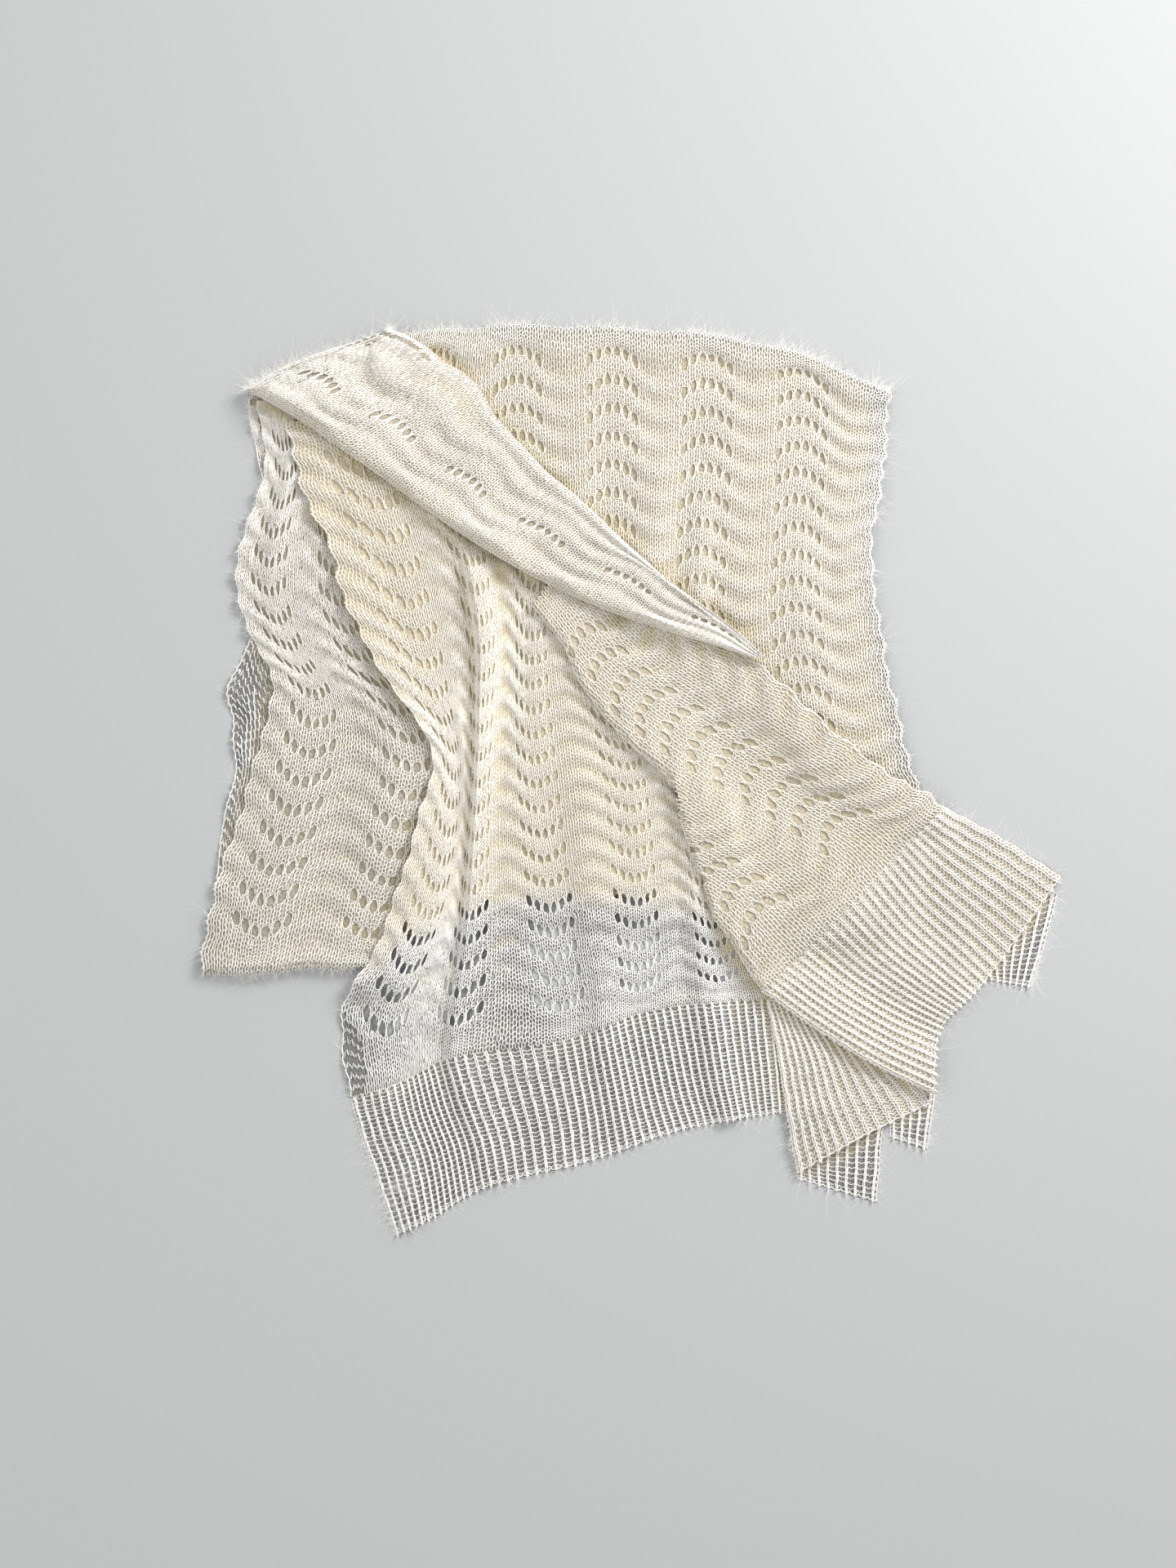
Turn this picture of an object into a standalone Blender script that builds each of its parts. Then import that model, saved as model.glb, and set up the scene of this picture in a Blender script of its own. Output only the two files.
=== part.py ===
"""Hand-knitted lace scarf, folded over itself and lying flat.

Each stretch of cloth that shows is a wall of its own. Its knitted rows follow a short table of
sections, every wall rests on the height of what lies under it, and folded borders curl round.
The hidden layers are one flat-bottomed core. Metres, +Z up, +Y towards the top fold.
"""
import math

import bmesh
import bpy
import numpy as np

# Driving sizes, in metres
MM = 0.001
THIN = 0.0012          # wall at the eyelet rows and between ribs
THICK = 0.0023         # wall at the crest of a row or a rib
GAP = 0.0003           # air between two layers
SEAM = 0.0005          # half of the slit between a lace panel and its ribbed hem
DRAPE = 0.016          # how far a wall spans before it sinks to the layer below
SOFTEN = 0.006         # rounding of that sag
CELL = 0.002           # pitch of the height map of the heap
HEAP_HALF = (0.400, 0.420)
STITCHES = 18          # stitches in one fan repeat
EYELET_PART = 0.42     # share of an eyelet row's pitch that the opening takes
ARC = 0.34             # rise of a fan's arc, in rows
CURL = (150.0, 92.0, 38.0)   # places round a folded border, in degrees from its top
WOOL = (0.86, 0.83, 0.74, 1.0)
WOOL_ROUGH = 0.92

# Columns of one repeat, in stitches. Eyelets open between the two narrow pairs.
LACE_COLUMNS = (0.0, 6.0, 7.5, 10.5, 12.0)
PLAIN_COLUMNS = (0.0, 6.0, 12.0)
EYELET_COLUMNS = (6.0, 10.5)

# Sections: one line for each knitted row measured, points across it as (x, y) in millimetres.
# STATIONS gives the places of those points across the cloth, in fan repeats.
BACK_STATIONS = (0.0, 1.5, 2.5, 3.5, 4.5, 5.4)
BACK = (
    ((-193, 387), (-98, 392), (-16, 391), (65, 384), (147, 368), (221, 335)),
    ((-205, 343), (-98, 344), (-16, 344), (65, 340), (147, 330), (219, 301)),
    ((-217, 280), (-96, 280), (-16, 279), (64, 276), (145, 272), (215, 259)),
    ((-212, 210), (-93, 210), (-16, 209), (60, 207), (142, 204), (206, 202)),
    ((-205, 140), (-89, 140), (-14, 140), (58, 141), (141, 141), (212, 143)),
    ((-199, 70), (-86, 70), (-12, 71), (61, 76), (147, 78), (224, 78)),
    ((-194, -28), (-82, -28), (-7, -25), (68, -21), (156, -18), (249, -18)),
)
LEFT_STATIONS = (0.0, 1.0, 2.0)
LEFT = (
    ((-320, 327), (-282, 326), (-240, 308)),
    ((-314, 264), (-276, 260), (-236, 252)),
    ((-331, 215), (-280, 209), (-226, 202)),
    ((-338, 167), (-280, 158), (-217, 150)),
    ((-323, 122), (-264, 112), (-196, 104)),
    ((-306, 83), (-238, 69), (-159, 56)),
    ((-317, 38), (-233, 24), (-140, 14)),
    ((-329, -7), (-243, -21), (-145, -31)),
    ((-342, -49), (-252, -59), (-152, -70)),
    ((-357, -92), (-264, -98), (-163, -105)),
    ((-364, -130), (-271, -132), (-177, -133)),
    ((-369, -168), (-278, -162), (-184, -155)),
)
UNDER_STATIONS = (0.0, 0.7)
UNDER = (
    ((-328, 330), (-303, 328)),
    ((-323, 292), (-297, 292)),
    ((-315, 259), (-294, 259)),
    ((-310, 217), (-294, 217)),
    ((-322, 175), (-300, 175)),
    ((-322, 133), (-297, 133)),
    ((-337, 102), (-293, 102)),
    ((-345, 76), (-291, 76)),
    ((-341, 49), (-295, 49)),
    ((-340, 21), (-301, 21)),
    ((-342, -6), (-308, -6)),
    ((-349, -28), (-315, -28)),
    ((-352, -61), (-323, -61)),
    ((-357, -90), (-330, -90)),
)
CENTER_STATIONS = (0.0, 0.5, 1.5, 2.5, 3.5, 5.5)
CENTER = (
    ((-294, 308), (-240, 308), (-149, 276), (-79, 245), (-23, 217), (47, 182)),
    ((-283, 258), (-224, 252), (-145, 224), (-82, 200), (-26, 174), (47, 136)),
    ((-257, 200), (-203, 192), (-135, 174), (-86, 155), (-31, 133), (51, 91)),
    ((-241, 148), (-187, 136), (-128, 122), (-87, 112), (-26, 92), (63, 48)),
    ((-210, 91), (-170, 78), (-128, 69), (-86, 63), (-14, 50), (79, 7)),
    ((-170, 29), (-152, 20), (-130, 13), (-82, 11), (-5, 7), (95, -34)),
    ((-181, -28), (-157, -39), (-133, -43), (-77, -41), (0, -38), (110, -73)),
    ((-201, -95), (-171, -104), (-137, -105), (-70, -99), (4, -94), (123, -106)),
    ((-221, -148), (-191, -157), (-142, -154), (-65, -148), (7, -139), (133, -137)),
    ((-249, -201), (-209, -206), (-149, -199), (-59, -188), (8, -172), (142, -162)),
    ((-240, -270), (-205, -260), (-152, -235), (-58, -221), (8, -198), (151, -183)),
)
CENTER_HEM = (
    ((-240, -270), (-205, -260), (-152, -235), (-58, -221), (8, -198), (151, -183)),
    ((-233, -298), (-198, -290), (-142, -270), (-52, -252), (15, -231), (152, -211)),
    ((-220, -336), (-185, -328), (-129, -307), (-45, -287), (23, -267), (154, -244)),
    ((-202, -389), (-175, -376), (-121, -346), (-40, -326), (33, -301), (154, -279)),
)
WING_STATIONS = (0.0, 0.5, 1.5, 2.25)
WING = (
    ((-84, 150), (-82, 154), (-75, 162), (-42, 224)),
    ((-58, 118), (-55, 121), (-49, 129), (-12, 196)),
    ((-45, 87), (-40, 92), (-28, 104), (16, 174)),
    ((-11, 42), (-5, 50), (11, 69), (54, 137)),
    ((30, 6), (38, 14), (56, 37), (103, 110)),
    ((49, -56), (60, -41), (104, 7), (149, 67)),
    ((70, -116), (87, -94), (152, -22), (203, 18)),
    ((102, -164), (128, -133), (201, -54), (250, -8)),
    ((112, -179), (144, -148), (219, -71), (266, -20)),
)
WING_HEM = (
    ((112, -179), (144, -148), (219, -71), (266, -20)),
    ((159, -212), (184, -178), (249, -106), (299, -36)),
    ((208, -242), (224, -202), (280, -134), (334, -57)),
    ((259, -267), (263, -220), (310, -162), (369, -80)),
)
TURN_STATIONS = (0.0, 0.5, 1.0)
HEM_TURN = (
    ((116, -186), (142, -188), (166, -196)),
    ((126, -238), (166, -231), (212, -231)),
    ((133, -286), (180, -273), (243, -255)),
    ((142, -335), (194, -305), (257, -274)),
)
TAIL_STATIONS = (0.0, 1.0)
LOWER_TAIL = (((137, -304), (217, -284)), ((142, -339), (211, -360)))
MIDDLE_TAIL = (((221, -274), (261, -262)), ((222, -304), (254, -315)))
UPPER_TAIL = (((289, -119), (366, -94)), ((292, -144), (357, -130)), ((301, -168), (343, -176)))
BAND_STATIONS = (0.0, 0.7, 1.5, 2.4, 3.3, 4.2, 5.1, 5.7, 6.0)
BAND = (
    ((-329, 336), (-294, 316), (-240, 280), (-177, 235), (-121, 197), (-47, 158), (26, 131),
     (82, 114), (105, 106)),
    ((-296, 356), (-257, 333), (-205, 302), (-149, 259), (-93, 220), (-26, 182), (40, 146),
     (88, 122), (109, 108)),
    ((-252, 372), (-213, 354), (-170, 323), (-122, 281), (-70, 238), (-9, 196), (51, 157),
     (93, 126), (112, 108)),
    ((-201, 388), (-170, 370), (-135, 342), (-98, 294), (-51, 248), (12, 190), (58, 146),
     (99, 118), (116, 104)),
)

# Plan of the hidden layers, in millimetres, and their edge: how far in and how high each step is.
CORE = (
    (-286, 322), (-256, 346), (-212, 372), (-163, 384), (-93, 382), (-23, 382), (47, 377),
    (110, 369), (166, 356), (205, 328), (208, 294), (203, 252), (198, 203), (197, 172),
    (206, 136), (209, 94), (220, 52), (229, 7), (229, -56), (208, -105), (159, -119),
    (110, -115), (54, -105), (-9, -99), (-65, -98), (-121, -102), (-170, -122), (-219, -144),
    (-282, -153), (-336, -152), (-330, -119), (-318, -80), (-307, -35), (-299, 0), (-290, 42),
    (-284, 77), (-290, 119), (-296, 158), (-290, 210), (-286, 252), (-289, 285),
)
CORE_POINTS = 62
CORE_INSET_AND_HEIGHT = (
    (0.0010, 0.0), (0.0, 0.0009), (0.0020, 0.0017), (0.0010, 0.0023), (0.0036, 0.0031),
    (0.0030, 0.0036), (0.0070, 0.0045), (0.0180, 0.0050),
)

# Ground already covered by an upper stretch, where a lower one stops: (x, y) in millimetres.
BACK_HIDDEN = ((-240, 420), (-215, 420), (-202, 376), (-160, 340), (-136, 322), (-106, 290), (-62, 246),
               (-6, 192), (46, 150), (92, 112), (136, 72), (166, 38), (204, 4), (242, -18),
               (260, -60), (-260, -60))
LEFT_HIDDEN = ((-276, 340), (-264, 252), (-246, 196), (-232, 146), (-206, 91), (-164, 42),
               (-152, 14), (-168, -28), (-184, -91), (-206, -148), (-212, -180), (0, -180),
               (0, 340))
CENTER_HIDDEN = ((-310, 340), (-262, 316), (-226, 286), (-166, 240), (-112, 204), (-78, 184),
                 (-50, 146), (-32, 104), (12, 50), (44, 10), (62, -40), (84, -100), (112, -150),
                 (130, -180), (136, -240), (260, -240), (260, 340))
HEM_HIDDEN = ((136, -170), (140, -230), (146, -310), (240, -310), (240, -170))
WING_HIDDEN = ((-120, 260), (-84, 192), (-20, 158), (40, 138), (84, 122), (112, 140), (112, 260))

# Pleats: place across in repeats, reach to each side in repeats, height in millimetres at the
# first and last row, and the rows between which it runs.
#            place  left   right  first  last  from   to
CENTER_PLEATS = (
    (1.50, 0.17, 0.50, 15.0, 8.0, 2.0, 25.0),
    (3.00, 0.34, 0.40, 2.0, 7.0, 10.0, 25.0),
    (4.50, 0.17, 0.17, 3.0, 7.0, 12.0, 25.0),
    (0.50, 0.50, 0.34, 5.0, 1.0, -2.0, 8.0),
    (0.00, 0.34, 0.42, 6.0, 6.0, 3.0, 12.0),
    (0.42, 0.42, 0.25, 3.0, 4.0, 15.0, 25.0),
)
CENTER_HEM_PLEATS = (
    (1.50, 0.17, 0.50, 8.0, 1.0, -3.0, 3.2),
    (3.00, 0.34, 0.40, 7.0, 1.0, -3.0, 3.2),
    (4.50, 0.17, 0.17, 7.0, 6.0, -3.0, 9.0),
    (0.42, 0.42, 0.25, 4.0, 3.0, -3.0, 9.0),
    (2.20, 0.34, 0.30, 0.0, 3.0, 0.0, 9.0),
)
BACK_PLEATS = (
    (3.00, 0.42, 0.34, 3.0, 7.0, 3.0, 11.0),
    (3.50, 0.34, 0.17, 2.0, 6.0, 5.0, 12.0),
    (4.58, 0.34, 0.42, 2.0, 4.0, 7.0, 20.0),
    (5.40, 0.42, 0.17, 1.0, 3.0, 2.0, 9.0),
)
LEFT_PLEATS = (
    (0.58, 0.34, 0.42, 5.0, 3.0, 0.0, 7.0),
    (1.33, 0.42, 0.34, 3.0, 6.0, 8.0, 17.0),
    (0.58, 0.34, 0.42, 2.0, 4.0, 11.0, 25.0),
)
WING_PLEATS = (
    (1.00, 0.60, 0.60, 3.0, 4.0, 4.0, 20.0),
    (2.00, 0.42, 0.34, 3.0, 2.0, 3.0, 20.0),
)
WING_HEM_PLEATS = (
    (1.00, 0.60, 0.60, 4.0, 8.0, -3.0, 12.0),
    (2.00, 0.42, 0.34, 2.0, 3.0, -3.0, 12.0),
)
TURN_PLEATS = ((0.45, 0.45, 0.50, 2.0, 5.0, 0.0, 12.0),)
BAND_PLEATS = (
    (0.66, 0.90, 1.10, 4.0, 1.0, -1.0, 6.0),
    (3.33, 1.20, 1.40, 1.0, 3.0, 0.0, 6.0),
)


def smooth_between(knots, values, at):
    """Pass a soft curve through values at knots and read it at the places asked for."""
    knots = np.asarray(knots, float)
    values = np.asarray(values, float)
    slopes = np.gradient(values, knots, axis=0)
    low = np.clip(np.searchsorted(knots, at, side="right") - 1, 0, len(knots) - 2)
    width = knots[low + 1] - knots[low]
    part = ((at - knots[low]) / width).reshape((-1,) + (1,) * (values.ndim - 1))
    width = width.reshape(part.shape)
    square, cube = part ** 2, part ** 3
    return (values[low] * (2 * cube - 3 * square + 1) + slopes[low] * width * (cube - 2 * square + part)
            + values[low + 1] * (3 * square - 2 * cube) + slopes[low + 1] * width * (cube - square))


def ease(value):
    """Rise softly from 0 to 1."""
    value = np.clip(value, 0.0, 1.0)
    return value * value * (3.0 - 2.0 * value)


class Heap:
    """Height of the cloth laid so far, on a square map over the floor."""

    def __init__(self):
        self.shape = (int(2 * HEAP_HALF[0] / CELL), int(2 * HEAP_HALF[1] / CELL))
        self.top = np.zeros(self.shape)
        self.wide = self.top
        self.close = self.top
        self.near = self.top

    def add(self, obj):
        """Record the top of an object, read at many points of each of its triangles."""
        graph = bpy.context.evaluated_depsgraph_get()
        mesh = obj.evaluated_get(graph).to_mesh()
        mesh.calc_loop_triangles()
        points = np.empty(len(mesh.vertices) * 3)
        mesh.vertices.foreach_get("co", points)
        corners = np.empty(len(mesh.loop_triangles) * 3, dtype=np.int64)
        mesh.loop_triangles.foreach_get("vertices", corners)
        triangles = points.reshape(-1, 3)[corners.reshape(-1, 3)]
        steps = 14
        for i in range(steps + 1):
            for j in range(steps + 1 - i):
                a, b = i / steps, j / steps
                spot = triangles[:, 0] * a + triangles[:, 1] * b + triangles[:, 2] * (1.0 - a - b)
                x = np.clip(((spot[:, 0] + HEAP_HALF[0]) / CELL).astype(int), 0, self.shape[0] - 1)
                y = np.clip(((spot[:, 1] + HEAP_HALF[1]) / CELL).astype(int), 0, self.shape[1] - 1)
                np.maximum.at(self.top, (x, y), spot[:, 2])

    def spread(self, field, reach):
        """Largest height within a square reach of each cell."""
        count = int(round(reach / CELL))
        for axis in (0, 1):
            source = field
            for shift in range(-count, count + 1):
                field = np.maximum(field, np.roll(source, shift, axis=axis))
        return field

    def mean(self, field, reach):
        """Average height within a square reach of each cell."""
        count = int(round(reach / CELL))
        for axis in (0, 1):
            field = sum(np.roll(field, shift, axis=axis) for shift in range(-count, count + 1))
            field = field / (2 * count + 1)
        return field

    def settle(self):
        """Work out the ground that the next layer rests on."""
        lifted = np.where(self.top > 0.0, self.top + GAP, 0.0)
        self.wide = self.mean(self.spread(lifted, DRAPE + SOFTEN), SOFTEN)
        self.close = self.spread(lifted, 0.012)
        self.near = self.spread(lifted, 0.006)

    def read(self, field, x, y):
        """Read a map between its cells."""
        gx = np.clip((x + HEAP_HALF[0]) / CELL - 0.5, 0, self.shape[0] - 2)
        gy = np.clip((y + HEAP_HALF[1]) / CELL - 0.5, 0, self.shape[1] - 2)
        ix, iy = gx.astype(int), gy.astype(int)
        fx, fy = gx - ix, gy - iy
        return ((field[ix, iy] * (1 - fx) + field[ix + 1, iy] * fx) * (1 - fy)
                + (field[ix, iy + 1] * (1 - fx) + field[ix + 1, iy + 1] * fx) * fy)


def inside(outline, x, y):
    """Whether each place lies within a closed outline given in millimetres."""
    points = np.array(outline, float) * MM
    result = np.zeros(np.shape(x), bool)
    for (x0, y0), (x1, y1) in zip(points, np.roll(points, -1, axis=0)):
        crosses = (y0 > y) != (y1 > y)
        with np.errstate(divide="ignore", invalid="ignore"):
            at = (x1 - x0) * (y - y0) / (y1 - y0) + x0
        result ^= crosses & (x < at)
    return result


def unit(vectors):
    """Scale vectors to length 1."""
    return vectors / np.maximum(np.linalg.norm(vectors, axis=-1, keepdims=True), 1e-9)


class Stretch:
    """One stretch of knitted cloth, laid along its sections and over what is under it."""

    def __init__(self, name, sections, stations, rows, arc=ARC, pleats=(), ribs=0, folds=None,
                 lines_across=LACE_COLUMNS, hidden=None, openings=None, ends=(0.0, 0.0),
                 on_floor=False):
        self.name = name
        self.sections = np.array(sections, float) * MM
        self.stations = np.array(stations, float)
        self.rows = rows
        self.arc = arc
        self.pleats = pleats
        self.ribs = ribs
        self.folds = folds or {}
        self.lines_across = lines_across
        self.hidden = hidden
        self.openings = openings
        self.ends = ends
        self.on_floor = on_floor
        middle = self.sections[:, len(stations) // 2]
        length = np.concatenate(([0.0], np.cumsum(np.linalg.norm(np.diff(middle, axis=0), axis=1))))
        self.pitch = length[-1] / rows
        self.knots = length / self.pitch

    def place(self, across, along):
        """Plan position of each crossing of the columns and rows."""
        lines = smooth_between(self.knots, self.sections, along.ravel())
        result = np.empty((along.size, 2))
        flat = across.ravel()
        low = np.clip(np.searchsorted(self.stations, flat, side="right") - 1, 0,
                      len(self.stations) - 2)
        slopes = np.gradient(lines, self.stations, axis=1)
        pick = np.arange(along.size)
        width = self.stations[low + 1] - self.stations[low]
        part = ((flat - self.stations[low]) / width)[:, None]
        width = width[:, None]
        square, cube = part ** 2, part ** 3
        result = (lines[pick, low] * (2 * cube - 3 * square + 1)
                  + slopes[pick, low] * width * (cube - 2 * square + part)
                  + lines[pick, low + 1] * (3 * square - 2 * cube)
                  + slopes[pick, low + 1] * width * (cube - square))
        return result.reshape(across.shape + (2,))

    def columns(self):
        """Places across the cloth: rib sides on a hem, stitch groups on lace."""
        last = self.stations[-1]
        if self.ribs:
            return np.linspace(0.0, last, self.ribs * 2 + 1)
        lines = [whole + stitch / STITCHES for whole in range(int(math.ceil(last)))
                 for stitch in self.lines_across]
        lines = [line for line in lines if line < last - 0.05]
        return np.array(lines + [last])

    def lines(self):
        """Places along the cloth: two lines for each eyelet row, four on a hem."""
        if self.ribs:
            return np.linspace(0.0, self.rows, self.rows + 1)
        lines = [row + part for row in range(self.rows) for part in (0.0, EYELET_PART)]
        return np.array(lines + [float(self.rows)])

    def with_curl(self, lines, first, last, room):
        """Add the curl's three lines at each folded end, and drop those too near to it."""
        values = list(lines)
        turns = [None] * len(values)
        if first:
            keep = [i for i, value in enumerate(values) if value - lines[0] > room]
            values = [lines[0]] * len(CURL) + [values[i] for i in keep]
            turns = [(1.0, angle) for angle in CURL] + [None] * len(keep)
        if last:
            keep = [i for i, value in enumerate(values) if lines[-1] - value > room]
            values = [values[i] for i in keep] + [lines[-1]] * len(CURL)
            turns = [turns[i] for i in keep] + [(-1.0, angle) for angle in reversed(CURL)]
        return np.array(values), turns

    def rise(self, across, along):
        """Height of the pleats and of the raised folded borders above the ground."""
        height = np.zeros(across.shape)
        last = self.stations[-1]
        for side, (_, lift, reach) in self.folds.items():
            away = {"first_row": along, "last_row": self.rows - along,
                    "first_side": across, "last_side": last - across}[side]
            height = np.maximum(height, lift * ease(1.0 - away / reach))
        for place, left, right, first, last, begin, end in self.pleats:
            reach = np.where(across < place, left, right)
            side = ease(1.0 - np.abs(across - place) / reach)
            part = np.clip((along - begin) / (end - begin), 0.0, 1.0)
            size = (first + (last - first) * part) * MM
            inside_run = ease((along - begin) / 2.0) * ease((end - along) / 2.0)
            height = height + side * size * inside_run
        return height

    def build(self, heap, collection, material):
        """Make the wall as a grid with Solidify, its openings left out."""
        columns, column_turns = self.with_curl(self.columns(), "first_side" in self.folds,
                                               "last_side" in self.folds, 0.13)
        rows, row_turns = self.with_curl(self.lines(), "first_row" in self.folds,
                                         "last_row" in self.folds, 0.35)
        across, along = np.meshgrid(columns, rows)
        fade = ease(along / 1.5) * ease((self.rows - along) / 1.5)
        wave = self.arc * np.cos(2.0 * np.pi * (across - 0.5)) * fade
        plan = self.place(across, np.clip(along + wave, 0.0, self.rows))
        small = 0.02
        inward_row = unit(self.place(across, np.clip(along + small, 0, self.rows))
                          - self.place(across, np.clip(along - small, 0, self.rows)))
        inward_side = unit(self.place(np.clip(across + small, 0, self.stations[-1]), along)
                           - self.place(np.clip(across - small, 0, self.stations[-1]), along))
        plan[0] += inward_row[0] * self.ends[0]
        plan[-1] -= inward_row[-1] * self.ends[1]
        ground = heap.read(heap.wide, plan[..., 0], plan[..., 1])
        close = heap.read(heap.close, plan[..., 0], plan[..., 1])
        near = heap.read(heap.near, plan[..., 0], plan[..., 1])
        if self.on_floor:
            ground = ground * 0.0
        height = self.rise(across, along)
        top = ground + height
        level = top.copy()
        for index, turn in enumerate(row_turns):
            if turn:
                side = "first_row" if turn[0] > 0 else "last_row"
                base = near[index] if self.folds[side][0] == "floor" else close[index]
                self.curl(plan[index], level[index], top[index], base, inward_row[index], turn)
        for index, turn in enumerate(column_turns):
            if turn:
                side = "first_side" if turn[0] > 0 else "last_side"
                base = near[:, index] if self.folds[side][0] == "floor" else close[:, index]
                self.curl(plan[:, index], level[:, index], top[:, index], base,
                          inward_side[:, index], turn)
        wall = self.wall(across, along, rows, columns)
        keep = self.kept(plan, rows, columns, row_turns, column_turns)
        return self.make_object(plan, level, wall, keep, collection, material)

    def curl(self, plan, level, top, base, inward, turn):
        """Bend one line of a border round part of a circle whose end rests on its base."""
        rest = math.cos(math.radians(180.0 - CURL[0]))
        radius = np.maximum((top - base - rest * THIN) / (1.0 + rest), 0.0008)
        angle = math.radians(turn[1])
        plan += inward * (turn[0] * (THIN + radius * (1.0 - math.sin(angle))))[:, None]
        height = base + rest * (THIN + radius) + radius * math.cos(angle)
        level[:] = np.minimum(level, height)

    def wall(self, across, along, rows, columns):
        """Thickness at each point: crests between eyelet rows, or ribs."""
        if self.ribs:
            crest = np.arange(len(columns)) % 2 == 1
            return np.broadcast_to(np.where(crest, THICK, THIN), across.shape).copy()
        part = along - np.floor(along)
        crest = np.abs(part - EYELET_PART) < 0.01
        edge = (along < 0.3) | (along > self.rows - 0.3)
        return np.where(crest & ~edge, THICK, THIN)

    def kept(self, plan, rows, columns, row_turns, column_turns):
        """Cells that stay: those not far under an upper stretch, and not open."""
        middle = (plan[1:, 1:] + plan[:-1, 1:] + plan[1:, :-1] + plan[:-1, :-1]) / 4.0
        shown = np.ones(middle.shape[:2], bool)
        if self.hidden is not None:
            shown = ~inside(self.hidden, middle[..., 0], middle[..., 1])
        shown = self.one_piece(shown)
        opened = np.zeros(shown.shape, bool)
        if self.openings is not None:
            first, last = self.openings
            stitch = np.round((columns[:-1] - np.floor(columns[:-1] + 1e-6)) * STITCHES, 2)
            fits = np.isin(stitch, EYELET_COLUMNS) & (columns[:-1] > 0.2)
            fits &= columns[1:] < self.stations[-1] - 0.1
            part = rows[:-1] - np.floor(rows[:-1] + 1e-6)
            eyelet_row = (np.abs(part) < 0.01) & (rows[:-1] >= first) & (rows[:-1] <= last)
            eyelet_row &= np.array([turn is None for turn in row_turns[:-1]])
            fits &= np.array([turn is None for turn in column_turns[:-1]])
            opened = eyelet_row[:, None] & fits[None, :]
            full = np.zeros((shown.shape[0] + 2, shown.shape[1] + 2), bool)
            full[1:-1, 1:-1] = shown
            for down in (0, 1, 2):
                for right in (0, 1, 2):
                    opened &= full[down:down + shown.shape[0], right:right + shown.shape[1]]
        self.count = int(opened.sum())
        return shown & ~opened

    def one_piece(self, shown):
        """Keep the largest joined group of cells, with no two that meet only at a corner."""
        label = np.where(shown, np.arange(shown.size).reshape(shown.shape), -1)
        for _ in range(sum(shown.shape)):
            grown = label.copy()
            grown[1:] = np.where(shown[1:], np.maximum(grown[1:], grown[:-1]), -1)
            grown[:-1] = np.where(shown[:-1], np.maximum(grown[:-1], grown[1:]), -1)
            grown[:, 1:] = np.where(shown[:, 1:], np.maximum(grown[:, 1:], grown[:, :-1]), -1)
            grown[:, :-1] = np.where(shown[:, :-1], np.maximum(grown[:, :-1], grown[:, 1:]), -1)
            if (grown == label).all():
                break
            label = grown
        values, counts = np.unique(label[shown], return_counts=True)
        shown = label == values[np.argmax(counts)]
        for _ in range(4):
            a, b = shown[:-1, :-1], shown[:-1, 1:]
            c, d = shown[1:, :-1], shown[1:, 1:]
            touch = (a & d & ~b & ~c) | (b & c & ~a & ~d)
            if not touch.any():
                break
            shown[:-1, :-1] |= touch
            shown[:-1, 1:] |= touch
        return shown

    def make_object(self, plan, level, wall, keep, collection, material):
        """Move a grid's vertices to their places and thicken it upwards."""
        down, right = plan.shape[0] - 1, plan.shape[1] - 1
        mesh_data = bmesh.new()
        bmesh.ops.create_grid(mesh_data, x_segments=right, y_segments=down, size=1.0)
        weights = mesh_data.verts.layers.deform.verify()
        mesh_data.verts.ensure_lookup_table()
        gone = []
        for face in mesh_data.faces:
            centre = face.calc_center_median()
            i = int((1.0 - centre.y) / 2.0 * down)
            j = int((1.0 + centre.x) / 2.0 * right)
            if not keep[i, j]:
                gone.append(face)
        for vertex in mesh_data.verts:
            i = int(round((1.0 - vertex.co.y) / 2.0 * down))
            j = int(round((1.0 + vertex.co.x) / 2.0 * right))
            vertex.co = (plan[i, j, 0], plan[i, j, 1], level[i, j])
            vertex[weights][0] = wall[i, j] / THICK
        bmesh.ops.delete(mesh_data, geom=gone, context="FACES")
        mesh = bpy.data.meshes.new(self.name)
        mesh_data.to_mesh(mesh)
        mesh_data.free()
        if np.mean([face.normal.z for face in mesh.polygons]) < 0.0:
            mesh.flip_normals()
        obj = bpy.data.objects.new(self.name, mesh)
        collection.objects.link(obj)
        mesh.materials.append(material)
        obj.vertex_groups.new(name="thickness")
        shell = obj.modifiers.new("wall", "SOLIDIFY")
        shell.thickness = THICK
        shell.offset = 1.0
        shell.use_even_offset = False
        shell.vertex_group = "thickness"
        shell.thickness_vertex_group = 0.0
        return obj


def make_core(collection, material):
    """Hidden layers as one solid: rings of the plan, set in and raised step by step."""
    outline = np.array(CORE, float) * MM
    count = len(outline)
    closed = np.concatenate((outline, outline[:1]))
    fine = smooth_between(np.arange(count + 1), closed,
                          np.arange(CORE_POINTS) * count / CORE_POINTS)
    forward = unit(np.roll(fine, -1, axis=0) - np.roll(fine, 1, axis=0))
    inward = np.stack((forward[:, 1], -forward[:, 0]), axis=1)
    mesh_data = bmesh.new()
    rings = []
    for inset, height in CORE_INSET_AND_HEIGHT:
        places = fine + inward * inset
        rings.append([mesh_data.verts.new((x, y, height)) for x, y in places])
    for lower, upper in zip(rings, rings[1:]):
        for i in range(len(lower)):
            j = (i + 1) % len(lower)
            mesh_data.faces.new((lower[j], lower[i], upper[i], upper[j]))
    mesh_data.faces.new(rings[0])
    mesh_data.faces.new(list(reversed(rings[-1])))
    bmesh.ops.recalc_face_normals(mesh_data, faces=mesh_data.faces)
    mesh = bpy.data.meshes.new("folded_core")
    mesh_data.to_mesh(mesh)
    mesh_data.free()
    obj = bpy.data.objects.new("folded_core", mesh)
    mesh.materials.append(material)
    collection.objects.link(obj)
    return obj


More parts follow.
